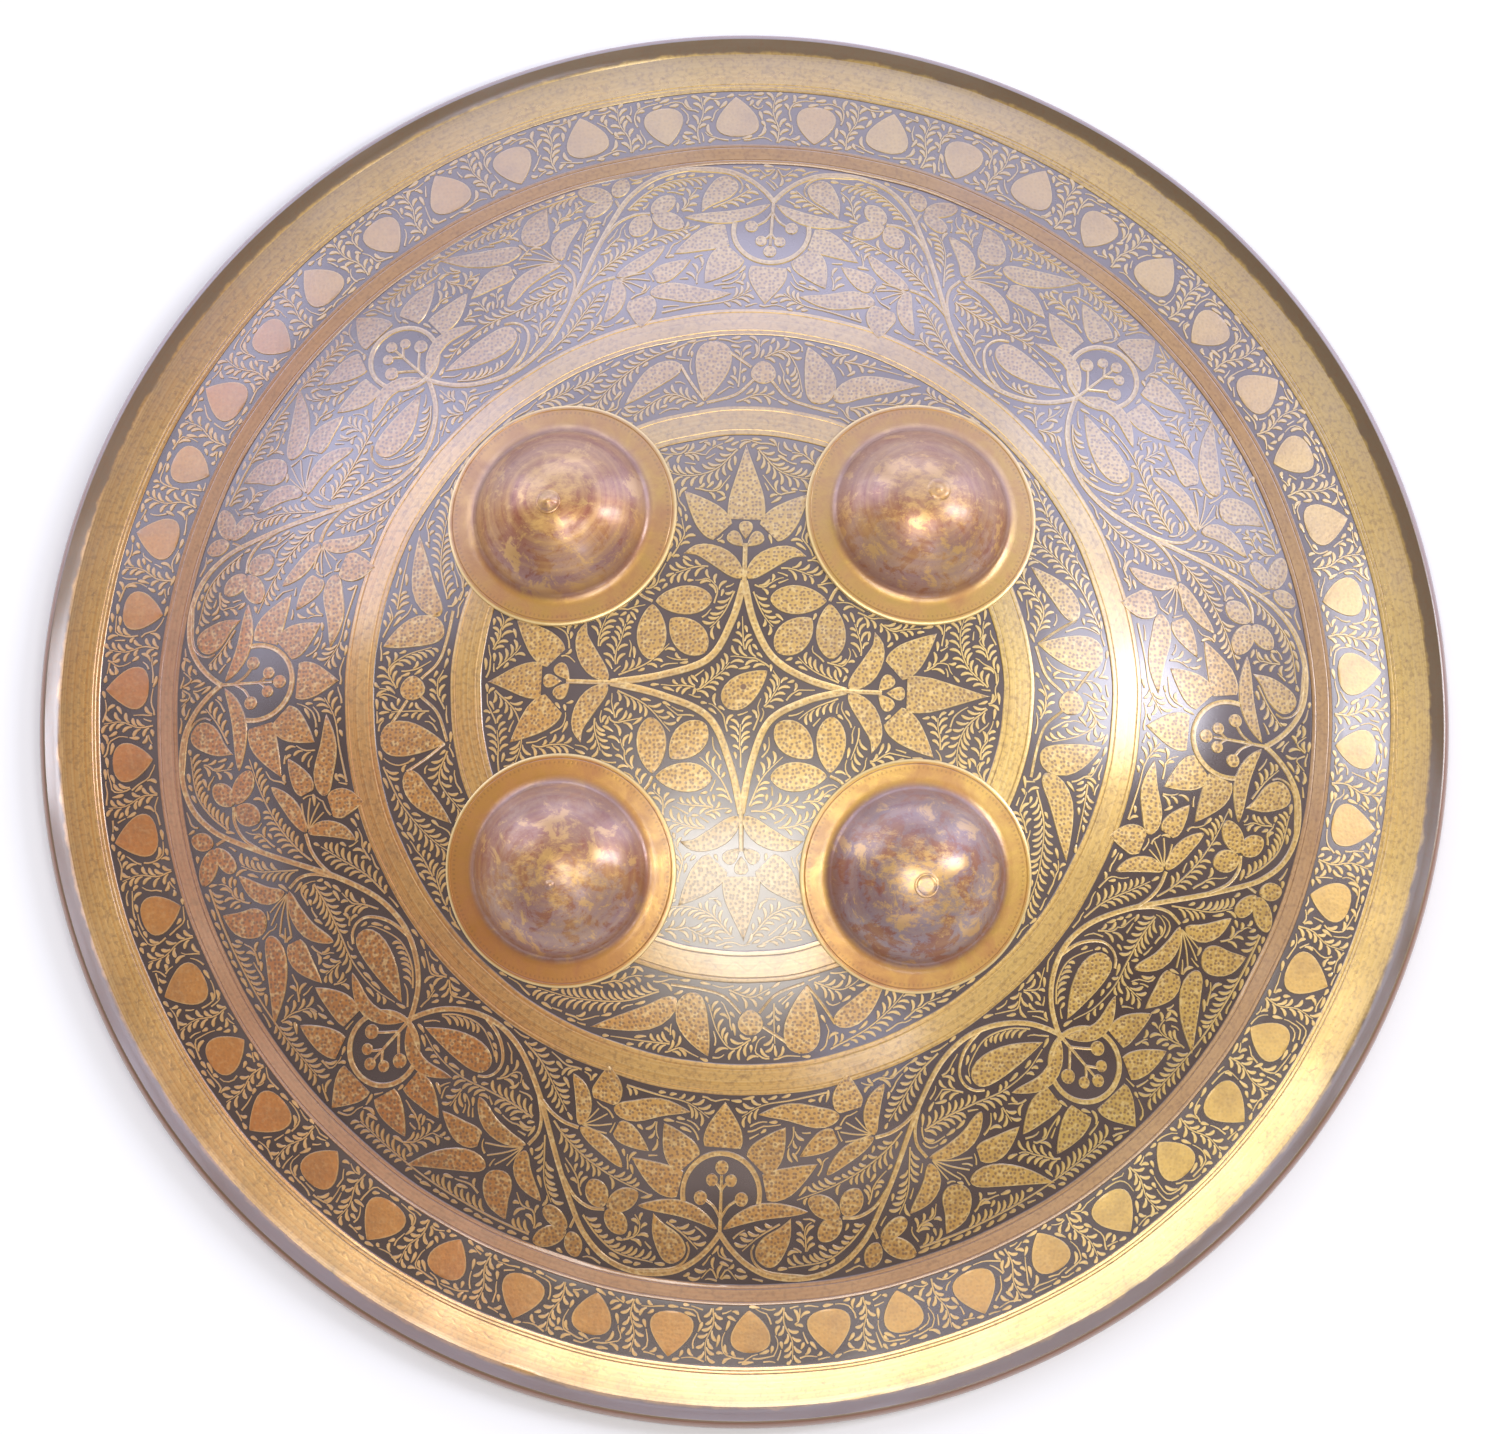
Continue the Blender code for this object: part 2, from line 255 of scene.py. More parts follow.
class Face:
    """The shield's face as heights over the plan, in millimetres."""

    def __init__(self, sizes):
        self.rim = sizes.rim_radius / MM
        self.roll_width = sizes.roll_width / MM
        self.roll_height = sizes.roll_height / MM
        self.rest_width = sizes.rest_width / MM
        self.cut = sizes.cut_depth / MM
        self.sheet = sizes.sheet / MM
        self.dents = sizes.dents / MM
        self.roll = self.rim - self.roll_width
        self.band = self.roll - sizes.band_width / MM
        self.border = self.band - sizes.border_width / MM
        self.dome = self.border - sizes.outer_ring_width / MM
        self.middle = sizes.middle_ring / MM
        self.middle_outer = self.middle + sizes.middle_ring_width / MM
        self.inner = sizes.inner_ring / MM
        self.inner_outer = self.inner + sizes.inner_ring_width / MM
        self.fullness = sizes.fullness
        self.lip = self.roll - sizes.lip_width / MM
        low = self.roll_height - sizes.lip_height / MM
        band_foot = low + (self.lip - self.band) * math.tan(sizes.band_slope)
        ring_foot = band_foot + (self.band - self.border) * math.tan(sizes.border_slope)
        dome_foot = ring_foot + (self.border - self.dome) * math.tan(sizes.outer_ring_slope)
        self.steps = ((self.dome, self.border, self.band, self.lip, self.roll, self.rim),
                      (dome_foot, ring_foot, band_foot, low, self.roll_height,
                       self.roll_height))
        self.rise = sizes.top / MM + self.cut - dome_foot

    def bare_height(self, radius):
        """The dome's mixed second and fourth power, then the straight bands."""
        share = (radius / self.dome) ** 2
        fall = (1.0 - self.fullness) * share + self.fullness * share * share
        dome = self.steps[1][0] + self.rise * (1.0 - fall)
        return np.where(radius < self.dome, dome, np.interp(radius, *self.steps))

    def height(self, radius):
        """The bare height averaged over a millimetre, which softens creases."""
        radius = np.asarray(radius, float)
        soft = 0.5
        around = self.bare_height(radius - soft) + self.bare_height(radius + soft)
        return 0.25 * around + 0.5 * self.bare_height(radius)

    def slope(self, radius):
        """Fall over run, from the heights half a millimetre either side."""
        return self.height(np.abs(radius - 0.5)) - self.height(radius + 0.5)

    def dent(self, plan):
        """Shallow waves in five directions, added up."""
        x, y = plan[..., 0], plan[..., 1]
        waves = ((0.11, 0.05, 0.4), (-0.04, 0.13, 1.9), (0.17, -0.09, 3.1),
                 (0.07, 0.21, 5.0), (-0.23, 0.08, 0.9))
        total = sum(np.sin(a * x + b * y + phase) for a, b, phase in waves)
        return 0.45 * self.dents * total

    def lay(self, plan, lift):
        """Points over the plan, raised along the face's normal, in metres."""
        radius = np.hypot(plan[..., 0], plan[..., 1])
        slope = self.slope(radius)
        scale = 1.0 / np.sqrt(1.0 + slope ** 2)
        across = np.where(radius > 1e-6, lift * scale * slope / np.maximum(radius, 1e-6), 0.0)
        height = self.height(radius) + self.dent(plan) + lift * scale
        flat = plan * (1.0 + across)[..., None]
        return np.concatenate([flat, height[..., None]], axis=-1) * MM


def polar(radius, degrees):
    """Plan points from radii and angles."""
    turn = np.radians(degrees)
    return np.stack([radius * np.cos(turn), radius * np.sin(turn)], axis=-1)


def compass(degrees):
    """Unit vectors outwards in a direction from the middle, and to its left."""
    out = polar(1.0, degrees)
    return out, np.array([-out[1], out[0]])


def curve(points, count):
    """A smooth curve through a few points, as Catmull and Rom's cubic."""
    points = np.asarray(points, float)
    ends = np.concatenate([[2 * points[0] - points[1]], points, [2 * points[-1] - points[-2]]])
    chord = np.linalg.norm(np.diff(points, axis=0), axis=1)
    knots = np.concatenate([[0.0], np.cumsum(chord)])
    where = np.interp(np.linspace(0.0, knots[-1], count), knots, np.arange(len(points)))
    span = np.minimum(where.astype(int), len(points) - 2)
    t = (where - span)[:, None]
    before, start, end, after = (ends[span + step] for step in range(4))
    return 0.5 * (2 * start + (end - before) * t
                  + (2 * before - 5 * start + 4 * end - after) * t ** 2
                  + (3 * start - before - 3 * end + after) * t ** 3)


def across_of(path):
    """Unit vectors to the left of a path's direction."""
    along = np.gradient(path, axis=-2)
    along = along / np.maximum(np.linalg.norm(along, axis=-1, keepdims=True), 1e-9)
    return np.stack([-along[..., 1], along[..., 0]], axis=-1)


def blade(count, blunt, sharp, start=0.0):
    """Half widths of a leaf: share to one power times its rest to another."""
    share = start + (1.0 - start) * 0.5 * (1.0 - np.cos(np.linspace(0.0, np.pi, count)))
    width = np.clip(share, 1e-4, 1) ** blunt * np.clip(1 - share, 1e-4, 1) ** sharp
    peak = blunt / (blunt + sharp)
    return share, width / (peak ** blunt * (1 - peak) ** sharp)


# Cross-sections as rows of side, inset from the edge, lift and edge mark
LEAF_SECTION = np.array([
    (-1.0, 0.0, -0.36, 1.0), (-1.0, 0.15, 0.0, 1.0), (-1.0, 0.55, 0.0, 0.0),
    (-0.35, 0.0, 0.03, 0.0), (0.35, 0.0, 0.03, 0.0), (1.0, 0.55, 0.0, 0.0),
    (1.0, 0.15, 0.0, 1.0), (1.0, 0.0, -0.36, 1.0)])
VINE_SECTION = np.array([
    (-1.0, 0.0, -0.36, 1.0), (-1.0, 0.14, 0.0, 1.0), (0.0, 0.0, -0.1, 0.3),
    (1.0, 0.14, 0.0, 1.0), (1.0, 0.0, -0.36, 1.0)])
STROKE_SECTION = np.array([
    (-1.0, 0.0, -0.34, 1.0), (-0.74, 0.0, 0.0, 1.0), (0.74, 0.0, 0.0, 1.0),
    (1.0, 0.0, -0.34, 1.0)])


def swept(face, paths, halves, section, lift=0.0):
    """A section carried along paths in the plan and laid on the face.

    The paths are bodies by points by two, and the half widths bodies by
    points. It returns positions as bodies by points by section, and marks.
    """
    side, inset, rise, mark = section.T
    inward = np.minimum(inset, 0.42 * halves[..., None])
    offset = side * halves[..., None] - np.sign(side) * inward
    plan = paths[:, :, None, :] + across_of(paths)[:, :, None, :] * offset[..., None]
    narrow = np.minimum(1.0, halves[..., None] / 0.25)
    lifts = np.where(rise > -0.2, (rise + lift) * narrow - 0.3 * (1.0 - narrow), rise)
    marks = np.broadcast_to(mark, plan.shape[:-1])
    return face.lay(plan, lifts), marks


def tube_faces(bodies, rings, points, first=0):
    """Quads along tubes and the flat caps at their ends, as two arrays."""
    index = first + np.arange(bodies * rings * points).reshape(bodies, rings, points)
    beside = np.roll(index, -1, axis=2)
    quads = np.stack([index[:, :-1], beside[:, :-1], beside[:, 1:], index[:, 1:]], axis=-1)
    caps = np.concatenate([index[:, 0, ::-1], index[:, -1]])
    return quads.reshape(-1, 4), caps


def signed_volume(verts, faces):
    """Volume of the fans of triangles under flat faces, signed by their turn."""
    first = verts[faces[:, 0]]
    return sum(np.einsum("ij,ij->i", first, np.cross(verts[faces[:, k]], verts[faces[:, k + 1]]))
               .sum() for k in range(1, faces.shape[1] - 1)) / 6.0


def mesh_object(name, verts, groups, marks=None, smooth=math.radians(35.0)):
    """A mesh from positions and arrays of faces, turned to face outwards."""
    if sum(signed_volume(verts, faces) for faces in groups) < 0.0:
        groups = [faces[:, ::-1] for faces in groups]
    corners = np.concatenate([faces.ravel() for faces in groups])
    sizes = np.concatenate([np.full(len(faces), faces.shape[1]) for faces in groups])
    mesh = bpy.data.meshes.new(name)
    mesh.vertices.add(len(verts))
    mesh.vertices.foreach_set("co", verts.astype(np.float32).ravel())
    mesh.loops.add(len(corners))
    mesh.loops.foreach_set("vertex_index", corners.astype(np.int32))
    mesh.polygons.add(len(sizes))
    starts = np.concatenate([[0], np.cumsum(sizes)[:-1]])
    mesh.polygons.foreach_set("loop_start", starts.astype(np.int32))
    mesh.update(calc_edges=True)
    for key, values in (marks or {}).items():
        kind = "FLOAT_VECTOR" if values.ndim == 2 else "FLOAT"
        layer = mesh.attributes.new(key, kind, "POINT")
        layer.data.foreach_set("vector" if values.ndim == 2 else "value",
                               values.astype(np.float32).ravel())
    if smooth:
        mesh.shade_smooth()
        mesh.set_sharp_from_angle(angle=smooth)
    piece = bpy.data.objects.new(name, mesh)
    bpy.context.collection.objects.link(piece)
    return piece


class Work:
    """Swept pieces of one finish, gathered into one mesh."""

    def __init__(self, face):
        self.face = face
        self.parts = []

    def add(self, paths, halves, section, lift=0.0):
        """One piece, or many of like section, to be swept."""
        paths = np.asarray(paths, float)
        halves = np.asarray(halves, float)
        if paths.ndim == 2:
            paths, halves = paths[None], halves[None]
        self.parts.append(swept(self.face, paths, halves, section, lift))

    def build(self, name, slot, material):
        """The gathered pieces as one object that rides on the shield."""
        verts, marks, quads, caps, first = [], [], [], {}, 0
        for points, edge in self.parts:
            bodies, rings, around = points.shape[:3]
            faces, ends = tube_faces(bodies, rings, around, first)
            verts.append(points.reshape(-1, 3))
            marks.append(edge.reshape(-1))
            quads.append(faces)
            caps.setdefault(around, []).append(ends)
            first += bodies * rings * around
        groups = [np.concatenate(quads)] + [np.concatenate(ends) for ends in caps.values()]
        piece = mesh_object(name, np.concatenate(verts), groups,
                            {"edge": np.concatenate(marks)})
        finished(piece, material)


def finished(piece, material, replaces=()):
    """Gives a piece its finish, its body and the nodes it stands for."""
    piece.data.materials.append(material)
    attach(piece, "root")
    if replaces:
        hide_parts(*replaces)


class Ground:
    """The cut ground as a fine grid of free cells over the plan."""

    CELL = 0.25

    def __init__(self, inner, outer):
        self.reach = outer + 2.0
        axis = np.arange(-self.reach, self.reach, self.CELL)
        radius = np.hypot(axis[None, :], axis[:, None])
        self.free = (radius > inner + 0.25) & (radius < outer - 0.25)

    def cells(self, points):
        """Rows and columns of the cells that hold plan points."""
        found = ((points + self.reach) / self.CELL).astype(int)
        found = np.clip(found, 0, self.free.shape[0] - 1)
        return found[..., 1], found[..., 0]

    def is_free(self, points):
        """Whether every one of these points lies on free ground."""
        return bool(self.free[self.cells(points)].all())

    def take(self, path, half, margin):
        """Marks the ground under a swept path as taken, with a margin."""
        path = np.asarray(path, float)
        step = np.linalg.norm(np.diff(path, axis=0), axis=1)
        run = np.concatenate([[0.0], np.cumsum(step)])
        count = int(run[-1] / 0.18) + 2
        where = np.linspace(0.0, run[-1], count)
        half = np.broadcast_to(np.asarray(half, float), (len(path),))
        fine = np.stack([np.interp(where, run, path[:, 0]),
                         np.interp(where, run, path[:, 1])], axis=-1)
        width = np.interp(where, run, half) + margin
        shares = np.linspace(-1.0, 1.0, max(3, int(width.max() / 0.09)))
        spread = fine[:, None] + across_of(fine)[:, None] * (width[:, None] * shares)[..., None]
        self.free[self.cells(spread)] = False

    def take_disc(self, middle, radius):
        """Marks a disc of ground as taken."""
        axis = np.arange(-self.reach, self.reach, self.CELL)
        away = np.hypot(axis[None, :] - middle[0], axis[:, None] - middle[1])
        size = self.free.shape
        self.free &= away[:size[0], :size[1]] > radius

    def depth(self, most):
        """How many cells each free cell is from taken ground, up to a limit."""
        inside = self.free.copy()
        depth = inside.astype(np.int8)
        for _ in range(most - 1):
            inside[1:-1, 1:-1] &= (inside[:-2, 1:-1] & inside[2:, 1:-1]
                                   & inside[1:-1, :-2] & inside[1:-1, 2:])
            depth += inside
        return depth


class Engraver:
    """Draws leaves, vines and feathered sprigs on one zone of the face."""

    # Dark ground left clear beside a vine, a comma and a stem, in millimetres
    VINE_MARGIN, COMMA_MARGIN, STEM_MARGIN = 0.45, 0.26, 0.12

    def __init__(self, face, sizes, inner, outer, seed):
        self.face = face
        self.vine_half = sizes.vine_width / MM / 2
        self.stem_half = sizes.stem_width / MM / 2
        self.comma_half = sizes.comma_width / MM / 2
        self.pitch = sizes.comma_pitch / MM
        self.reach = sizes.comma_reach / MM
        self.margin = sizes.margin / MM
        self.swell = sizes.swell
        self.ground = Ground(inner, outer)
        self.leaves = Work(face)
        self.stems = Work(face)
        self.commas = []
        self.random = np.random.default_rng(seed)

    def leaf(self, path, half, blunt=0.5, sharp=0.8, start=0.0, lift=0.0, count=15):
        """A leaf along a path from its base to its tip.

        A broad leaf is cut a little fuller than drawn, with a finer tip.
        """
        if half > 2.4:
            half, sharp = half * self.swell, sharp + 0.15
        share, width = blade(count, blunt, sharp, start)
        share = (share - start) / (1.0 - start)
        fine = curve(path, 40)
        place = np.linspace(0.0, 1.0, 40)
        points = np.stack([np.interp(share, place, fine[:, 0]),
                           np.interp(share, place, fine[:, 1])], axis=-1)
        halves = np.maximum(half * width, 0.03)
        self.leaves.add(points, halves, LEAF_SECTION, lift)
        self.ground.take(points, halves, self.margin)

    def vine(self, path, half=None, count=40, taper=0.0, closed=False):
        """A ribbon of even width, narrowing at its end if it tapers."""
        half = self.vine_half if half is None else half
        points = path if closed else curve(path, count)
        share = np.linspace(0.0, 1.0, len(points))
        halves = half * (1.0 - taper * share)
        self.leaves.add(points, halves, VINE_SECTION)
        self.ground.take(points, halves, self.VINE_MARGIN)

    def ring(self, middle, radius, half, start=0.0, sweep=360.0):
        """A round ribbon about a point, from one angle on."""
        around = np.linspace(start, start + sweep, 48)
        self.vine(middle + polar(radius, around), half, closed=True)

    def berry(self, middle, radius):
        """A small round body."""
        along = polar(radius, 90.0)
        self.leaf([middle - along, middle, middle + along], radius, 0.5, 0.5, count=9)

    def comma(self, start, along, side, reach, lean=12.0, bend=72.0):
        """One comma that curls away from a stem, shortened until it fits."""
        turn = math.atan2(along[1], along[0]) + side * math.radians(lean)
        more = turn + side * math.radians(bend)
        first = np.array([math.cos(turn), math.sin(turn)])
        last = np.array([math.cos(more), math.sin(more)])
        shares = np.linspace(0.0, 1.0, 6)[:, None]
        for size in (1.0, 0.8, 0.6):
            knee = start + first * reach * size * 0.5
            end = knee + last * reach * size * 0.5
            path = (start * (1 - shares) ** 2 + 2 * knee * shares * (1 - shares)
                    + end * shares ** 2)
            clear = np.concatenate([path[1:], end[None] + 0.35 * last])
            if self.ground.is_free(clear):
                self.commas.append(path)
                self.ground.take(path, self.comma_half, self.COMMA_MARGIN)
                return True
        return False

    def sprig(self, path, reach=None):
        """A fine stem with commas on both sides, where the ground is free."""
        reach = self.reach if reach is None else reach
        rough = np.asarray(path, float)
        size = np.linalg.norm(np.diff(rough, axis=0), axis=1).sum()
        steps = max(2, int(size / self.pitch))
        points = curve(rough, 2 * steps + 1)
        open_run = [self.ground.is_free(point[None]) for point in points]
        if not any(open_run):
            return
        first = open_run.index(True)
        last = len(open_run) - 1 - open_run[::-1].index(True)
        points = points[first:last + 1]
        if len(points) < 3:
            return
        halves = self.stem_half * (1.0 - 0.5 * np.linspace(0.0, 1.0, len(points)))
        self.stems.add(points, halves, STROKE_SECTION)
        self.ground.take(points, halves, self.STEM_MARGIN)
        along = np.gradient(points, axis=0)
        sides = across_of(points)
        for place in range(len(points)):
            turn = 1 if place % 2 else -1
            start = points[place] + turn * 0.4 * sides[place]
            grow = reach * self.random.uniform(0.85, 1.1)
            self.comma(start, along[place], turn, grow)
        self.comma(points[-1] + 0.5 * along[-1] / np.linalg.norm(along[-1]),
                   along[-1], 1, 0.7 * reach, 0.0, 12.0)

    def trace(self, seed, heading, depth, most):
        """Walks the deepest free ground from a seed, bending a little each step."""
        path = [seed]
        swing = np.radians((-26.0, -13.0, 0.0, 13.0, 26.0))
        for _ in range(int(most / 0.5)):
            turns = heading + swing
            aim = np.stack([np.cos(turns), np.sin(turns)], axis=-1)
            rows, columns = self.ground.cells(path[-1] + 1.2 * aim)
            score = depth[rows, columns] * self.ground.free[rows, columns] - 1.2 * np.abs(swing)
            best = int(np.argmax(score))
            if score[best] < 1.5:
                break
            heading = turns[best]
            path.append(path[-1] + 0.5 * aim[best])
        return path

    def best_heading(self, seed, depth):
        """The direction in which the free ground stays deepest both ways."""
        turns = np.radians(np.arange(0.0, 180.0, 15.0) + self.random.uniform(0, 15))
        aim = np.stack([np.cos(turns), np.sin(turns)], axis=-1)
        steps = np.array([-3.0, -2.0, -1.0, 1.0, 2.0, 3.0])
        points = seed + aim[:, None] * steps[None, :, None]
        rows, columns = self.ground.cells(points)
        open_depth = depth[rows, columns] * self.ground.free[rows, columns]
        return turns[int(np.argmax(open_depth.sum(axis=1)))]

    def fill(self):
        """Sprigs along the middle of the widest free ground, then single commas."""
        for least, most in ((11, 12.0), (8, 10.0), (6, 8.0), (5, 6.0), (4, 5.0), (3, 3.0)):
            depth = self.ground.depth(14)
            rows, columns = np.nonzero(depth >= least)
            for pick in self.random.permutation(len(rows))[:9000]:
                row, column = rows[pick], columns[pick]
                if not self.ground.free[row, column]:
                    continue
                seed = np.array([column, row]) * self.ground.CELL - self.ground.reach
                about = polar(0.2 * least, np.arange(0.0, 360.0, 45.0))
                if not self.ground.is_free(seed + about):
                    continue
                heading = self.best_heading(seed, depth)
                if least > 3:
                    ahead = self.trace(seed, heading, depth, most / 2)
                    behind = self.trace(seed, heading + np.pi, depth, most / 2)
                    path = behind[::-1] + ahead[1:]
                    if len(path) > 5:
                        self.sprig(path[::3] + path[-1:])
                else:
                    aim = np.array([np.cos(heading), np.sin(heading)])
                    self.comma(seed - 0.8 * aim, aim, 1, 0.8 * self.reach, 0.0, 20.0)

    def build(self, name, leaf_finish, stroke_finish):
        """The leaves, stems and commas of this zone as three objects."""
        commas = Work(self.face)
        halves = self.comma_half * np.array([0.3, 0.55, 0.8, 1.0, 0.95, 0.4])
        paths = np.array(self.commas)
        commas.add(paths, np.broadcast_to(halves, paths.shape[:2]), STROKE_SECTION)
        self.leaves.build("dhal_%s_leaves" % name, "engraved_brass", leaf_finish)
        self.stems.build("dhal_%s_stems" % name, "engraved_brass", stroke_finish)
        commas.build("dhal_%s_commas" % name, "engraved_brass", stroke_finish)


# From an outward flower to the next inward one, along the zone, and the
# radius at which that is counted, in millimetres
HALF_SPAN = 106.8
FLOWER_RADIUS = 136.0


def half_zone(outward, inward):
    """Turns places counted from an outward flower towards an inward one.

    A place is a distance along the zone and a radius, in millimetres, and
    the distance is stretched to fit the angle between the two flowers.
    """
    def place(points):
        points = np.atleast_2d(np.asarray(points, float))
        angle = outward + (inward - outward) * points[:, 0] / HALF_SPAN
        return polar(points[:, 1], angle)
    return place


def upright(axis, hand=1.0, about=FLOWER_RADIUS):
    """Turns places counted sideways from a flower's own axis."""
    def place(points):
        points = np.atleast_2d(np.asarray(points, float))
        return polar(points[:, 1], axis + hand * np.degrees(points[:, 0] / about))
    return place


def outward_flower(draw, axis):
    """A flower whose petals point to the rim: what lies on its own axis."""
    place = upright(axis)
    draw.ring(place((0.0, 138.7))[0], 9.8, 0.75)
    draw.leaf(place([(0.0, 149.6), (0.0, 154.0), (0.0, 160.2)]), 5.4, 0.35, 0.9, 0.14)
    draw.vine(place([(0.0, 128.6), (0.0, 134.0), (0.0, 143.0)]), 0.55, 14, 0.3)
    draw.berry(place((0.0, 144.2))[0], 1.7)
    for hand in (1.0, -1.0):
        side = upright(axis, hand)
        draw.vine(side([(0.0, 132.4), (2.6, 135.2), (4.6, 137.2)]), 0.4, 10)
        draw.vine(side([(0.0, 139.0), (1.4, 140.8), (2.4, 141.8)]), 0.4, 8)
        draw.berry(side((3.2, 142.0))[0], 1.6)
        draw.berry(side((5.6, 137.9))[0], 2.0)
    draw.ground.take_disc(place((0.0, 138.7))[0], 9.8)


def inward_flower(draw, axis):
    """A flower whose petals point to the middle: what lies on its axis."""
    place = upright(axis)
    middle = place((0.0, 136.9))[0]
    draw.ring(middle, 10.7, 0.75, axis + 78.0, 204.0)
    draw.leaf(place([(0.0, 124.6), (0.2, 119.5), (0.4, 112.6)]), 5.4, 0.45, 0.9, 0.16)
    draw.vine(place([(0.0, 147.0), (0.0, 140.0), (0.0, 132.0)]), 0.55, 14, 0.2)
    draw.berry(place((0.0, 129.9))[0], 1.9)
    for hand in (1.0, -1.0):
        side = upright(axis, hand)
        draw.vine(side([(0.0, 143.5), (1.8, 140.4), (4.2, 138.6)]), 0.4, 10)
        draw.vine(side([(0.0, 136.0), (1.0, 134.6), (1.8, 134.0)]), 0.4, 8)
        draw.berry(side((5.6, 138.2))[0], 1.9)
        draw.berry(side((2.7, 133.3))[0], 1.7)
    draw.ground.take_disc(middle, 10.6)


def trefoil(draw, joint, lobes):
    """Three round lobes that meet at a joint, each given by its middle."""
    for middle, half in lobes:
        away = middle - joint
        draw.leaf([joint + 0.12 * away, middle, joint + 1.85 * away], half, 0.6, 0.45, count=13)


def half_garden(draw, outward, inward):
    """The vine between two flowers and all that grows on its two sides."""
    place = half_zone(outward, inward)

    draw.vine(place([(-0.4, 128.8), (1.7, 124.6), (5.1, 120.2), (10.3, 116.5), (17.2, 113.9),
                     (24.7, 113.2), (32.9, 114.8), (39.8, 118.2), (47.4, 124.0), (52.2, 129.0),
                     (60.4, 139.0), (68.6, 149.7), (72.8, 154.2), (77.6, 157.6), (83.1, 159.4),
                     (89.2, 159.6), (95.4, 158.2), (100.2, 155.2), (104.0, 151.3),
                     (107.2, 146.8)]), count=110)
    draw.vine(place([(18.0, 113.6), (24.7, 115.2), (28.8, 117.6), (31.4, 120.8), (31.4, 124.0),
                     (29.6, 126.4), (27.1, 127.6)]), 0.55, 30, 0.3)
    draw.vine(place([(86.0, 159.5), (94.7, 157.6), (98.0, 155.2), (99.0, 152.2),
                     (98.2, 150.1)]), 0.5, 24, 0.4)

    # Leaves that hang in the two loops
    draw.leaf(place([(28.6, 124.8), (23.3, 123.6), (15.0, 124.2), (5.1, 126.6)]), 3.9, 0.42, 0.8)
    draw.leaf(place([(96.6, 155.2), (94.0, 151.5), (90.8, 147.9), (88.5, 143.8)]), 3.8, 0.4, 0.95)

    # Petals and horned leaves at the side of the outward flower
    draw.leaf(place([(8.2, 147.4), (12.6, 149.4), (19.2, 152.4)]), 3.7, 0.4, 0.75, 0.12)
    draw.leaf(place([(11.6, 139.8), (16.6, 140.2), (24.0, 143.0)]), 3.6, 0.4, 0.75, 0.12)
    draw.leaf(place([(0.8, 129.6), (6.6, 133.6), (12.4, 134.8), (20.8, 132.2)]), 2.1, 0.75, 0.8)

    # Petals and horned leaves at the side of the inward flower
    draw.leaf(place([(106.0, 146.2), (101.4, 143.2), (94.6, 141.4), (84.0, 142.6)]), 2.2, 0.8, 0.8)
    draw.leaf(place([(94.9, 135.2), (89.6, 134.4), (79.6, 130.6)]), 4.1, 0.4, 0.85, 0.1)
    draw.leaf(place([(97.0, 129.4), (93.0, 125.8), (87.6, 119.9)]), 4.6, 0.42, 0.8, 0.1)

    # Half flower above the vine, five petals about a fan
    draw.vine(place([(46.8, 123.9), (50.0, 128.3), (51.1, 132.6), (49.8, 136.6)]), 0.5, 16)
    draw.leaf(place([(49.2, 137.0), (43.6, 137.6), (37.1, 136.4), (30.8, 132.1)]), 2.3, 0.7, 0.6)
    draw.leaf(place([(36.8, 141.6), (31.6, 142.4), (23.8, 140.8)]), 3.1, 0.45, 0.8, 0.05)
    draw.leaf(place([(41.6, 147.2), (35.7, 148.4), (29.2, 152.4), (23.2, 158.4)]), 3.0, 0.5, 0.85)
    draw.leaf(place([(45.1, 146.2), (46.3, 149.7), (48.0, 153.3), (51.7, 157.2)]), 4.1, 0.42, 0.8)
    draw.leaf(place([(49.6, 138.4), (50.4, 142.6), (53.2, 145.8), (58.6, 149.0)]), 2.5, 0.55, 0.7)

    # Half flower below the vine
    draw.vine(place([(47.4, 124.0), (52.2, 126.1), (57.0, 127.2), (61.8, 127.2)]), 0.5, 16)
    draw.leaf(place([(62.2, 127.0), (67.4, 128.4), (72.1, 130.2), (77.6, 133.8)]), 2.2, 0.6, 0.7)
    draw.leaf(place([(61.9, 126.4), (61.4, 121.9), (58.6, 117.6), (54.2, 114.4)]), 2.3, 0.55, 0.75)
    draw.leaf(place([(66.8, 118.3), (66.9, 114.7), (64.9, 108.9)]), 4.2, 0.4, 0.75, 0.06, 0.12)
    draw.leaf(place([(70.6, 119.2), (76.9, 118.6), (85.8, 116.0), (95.8, 116.0)]), 2.9, 0.5, 0.75)
    draw.leaf(place([(73.0, 124.1), (76.5, 124.9), (84.4, 128.0)]), 2.9, 0.42, 0.8, 0.05)

    # Trefoils on each side of the vine
    draw.vine(place([(68.6, 148.9), (68.2, 151.0), (67.9, 152.8)]), 0.45, 8)
    lobes = [(63.4, 156.8), (69.8, 156.8), (63.5, 151.6)]
    trefoil(draw, place((67.7, 153.6))[0], list(zip(place(lobes), (2.7, 2.5, 2.3))))
    draw.vine(place([(61.8, 140.4), (66.6, 144.6), (71.4, 146.2), (75.4, 145.6)]), 0.45, 18)
    lobes = [(72.3, 142.0), (79.1, 148.0), (79.7, 142.0)]
    trefoil(draw, place((75.4, 145.4))[0], list(zip(place(lobes), (3.1, 2.8, 3.0))))

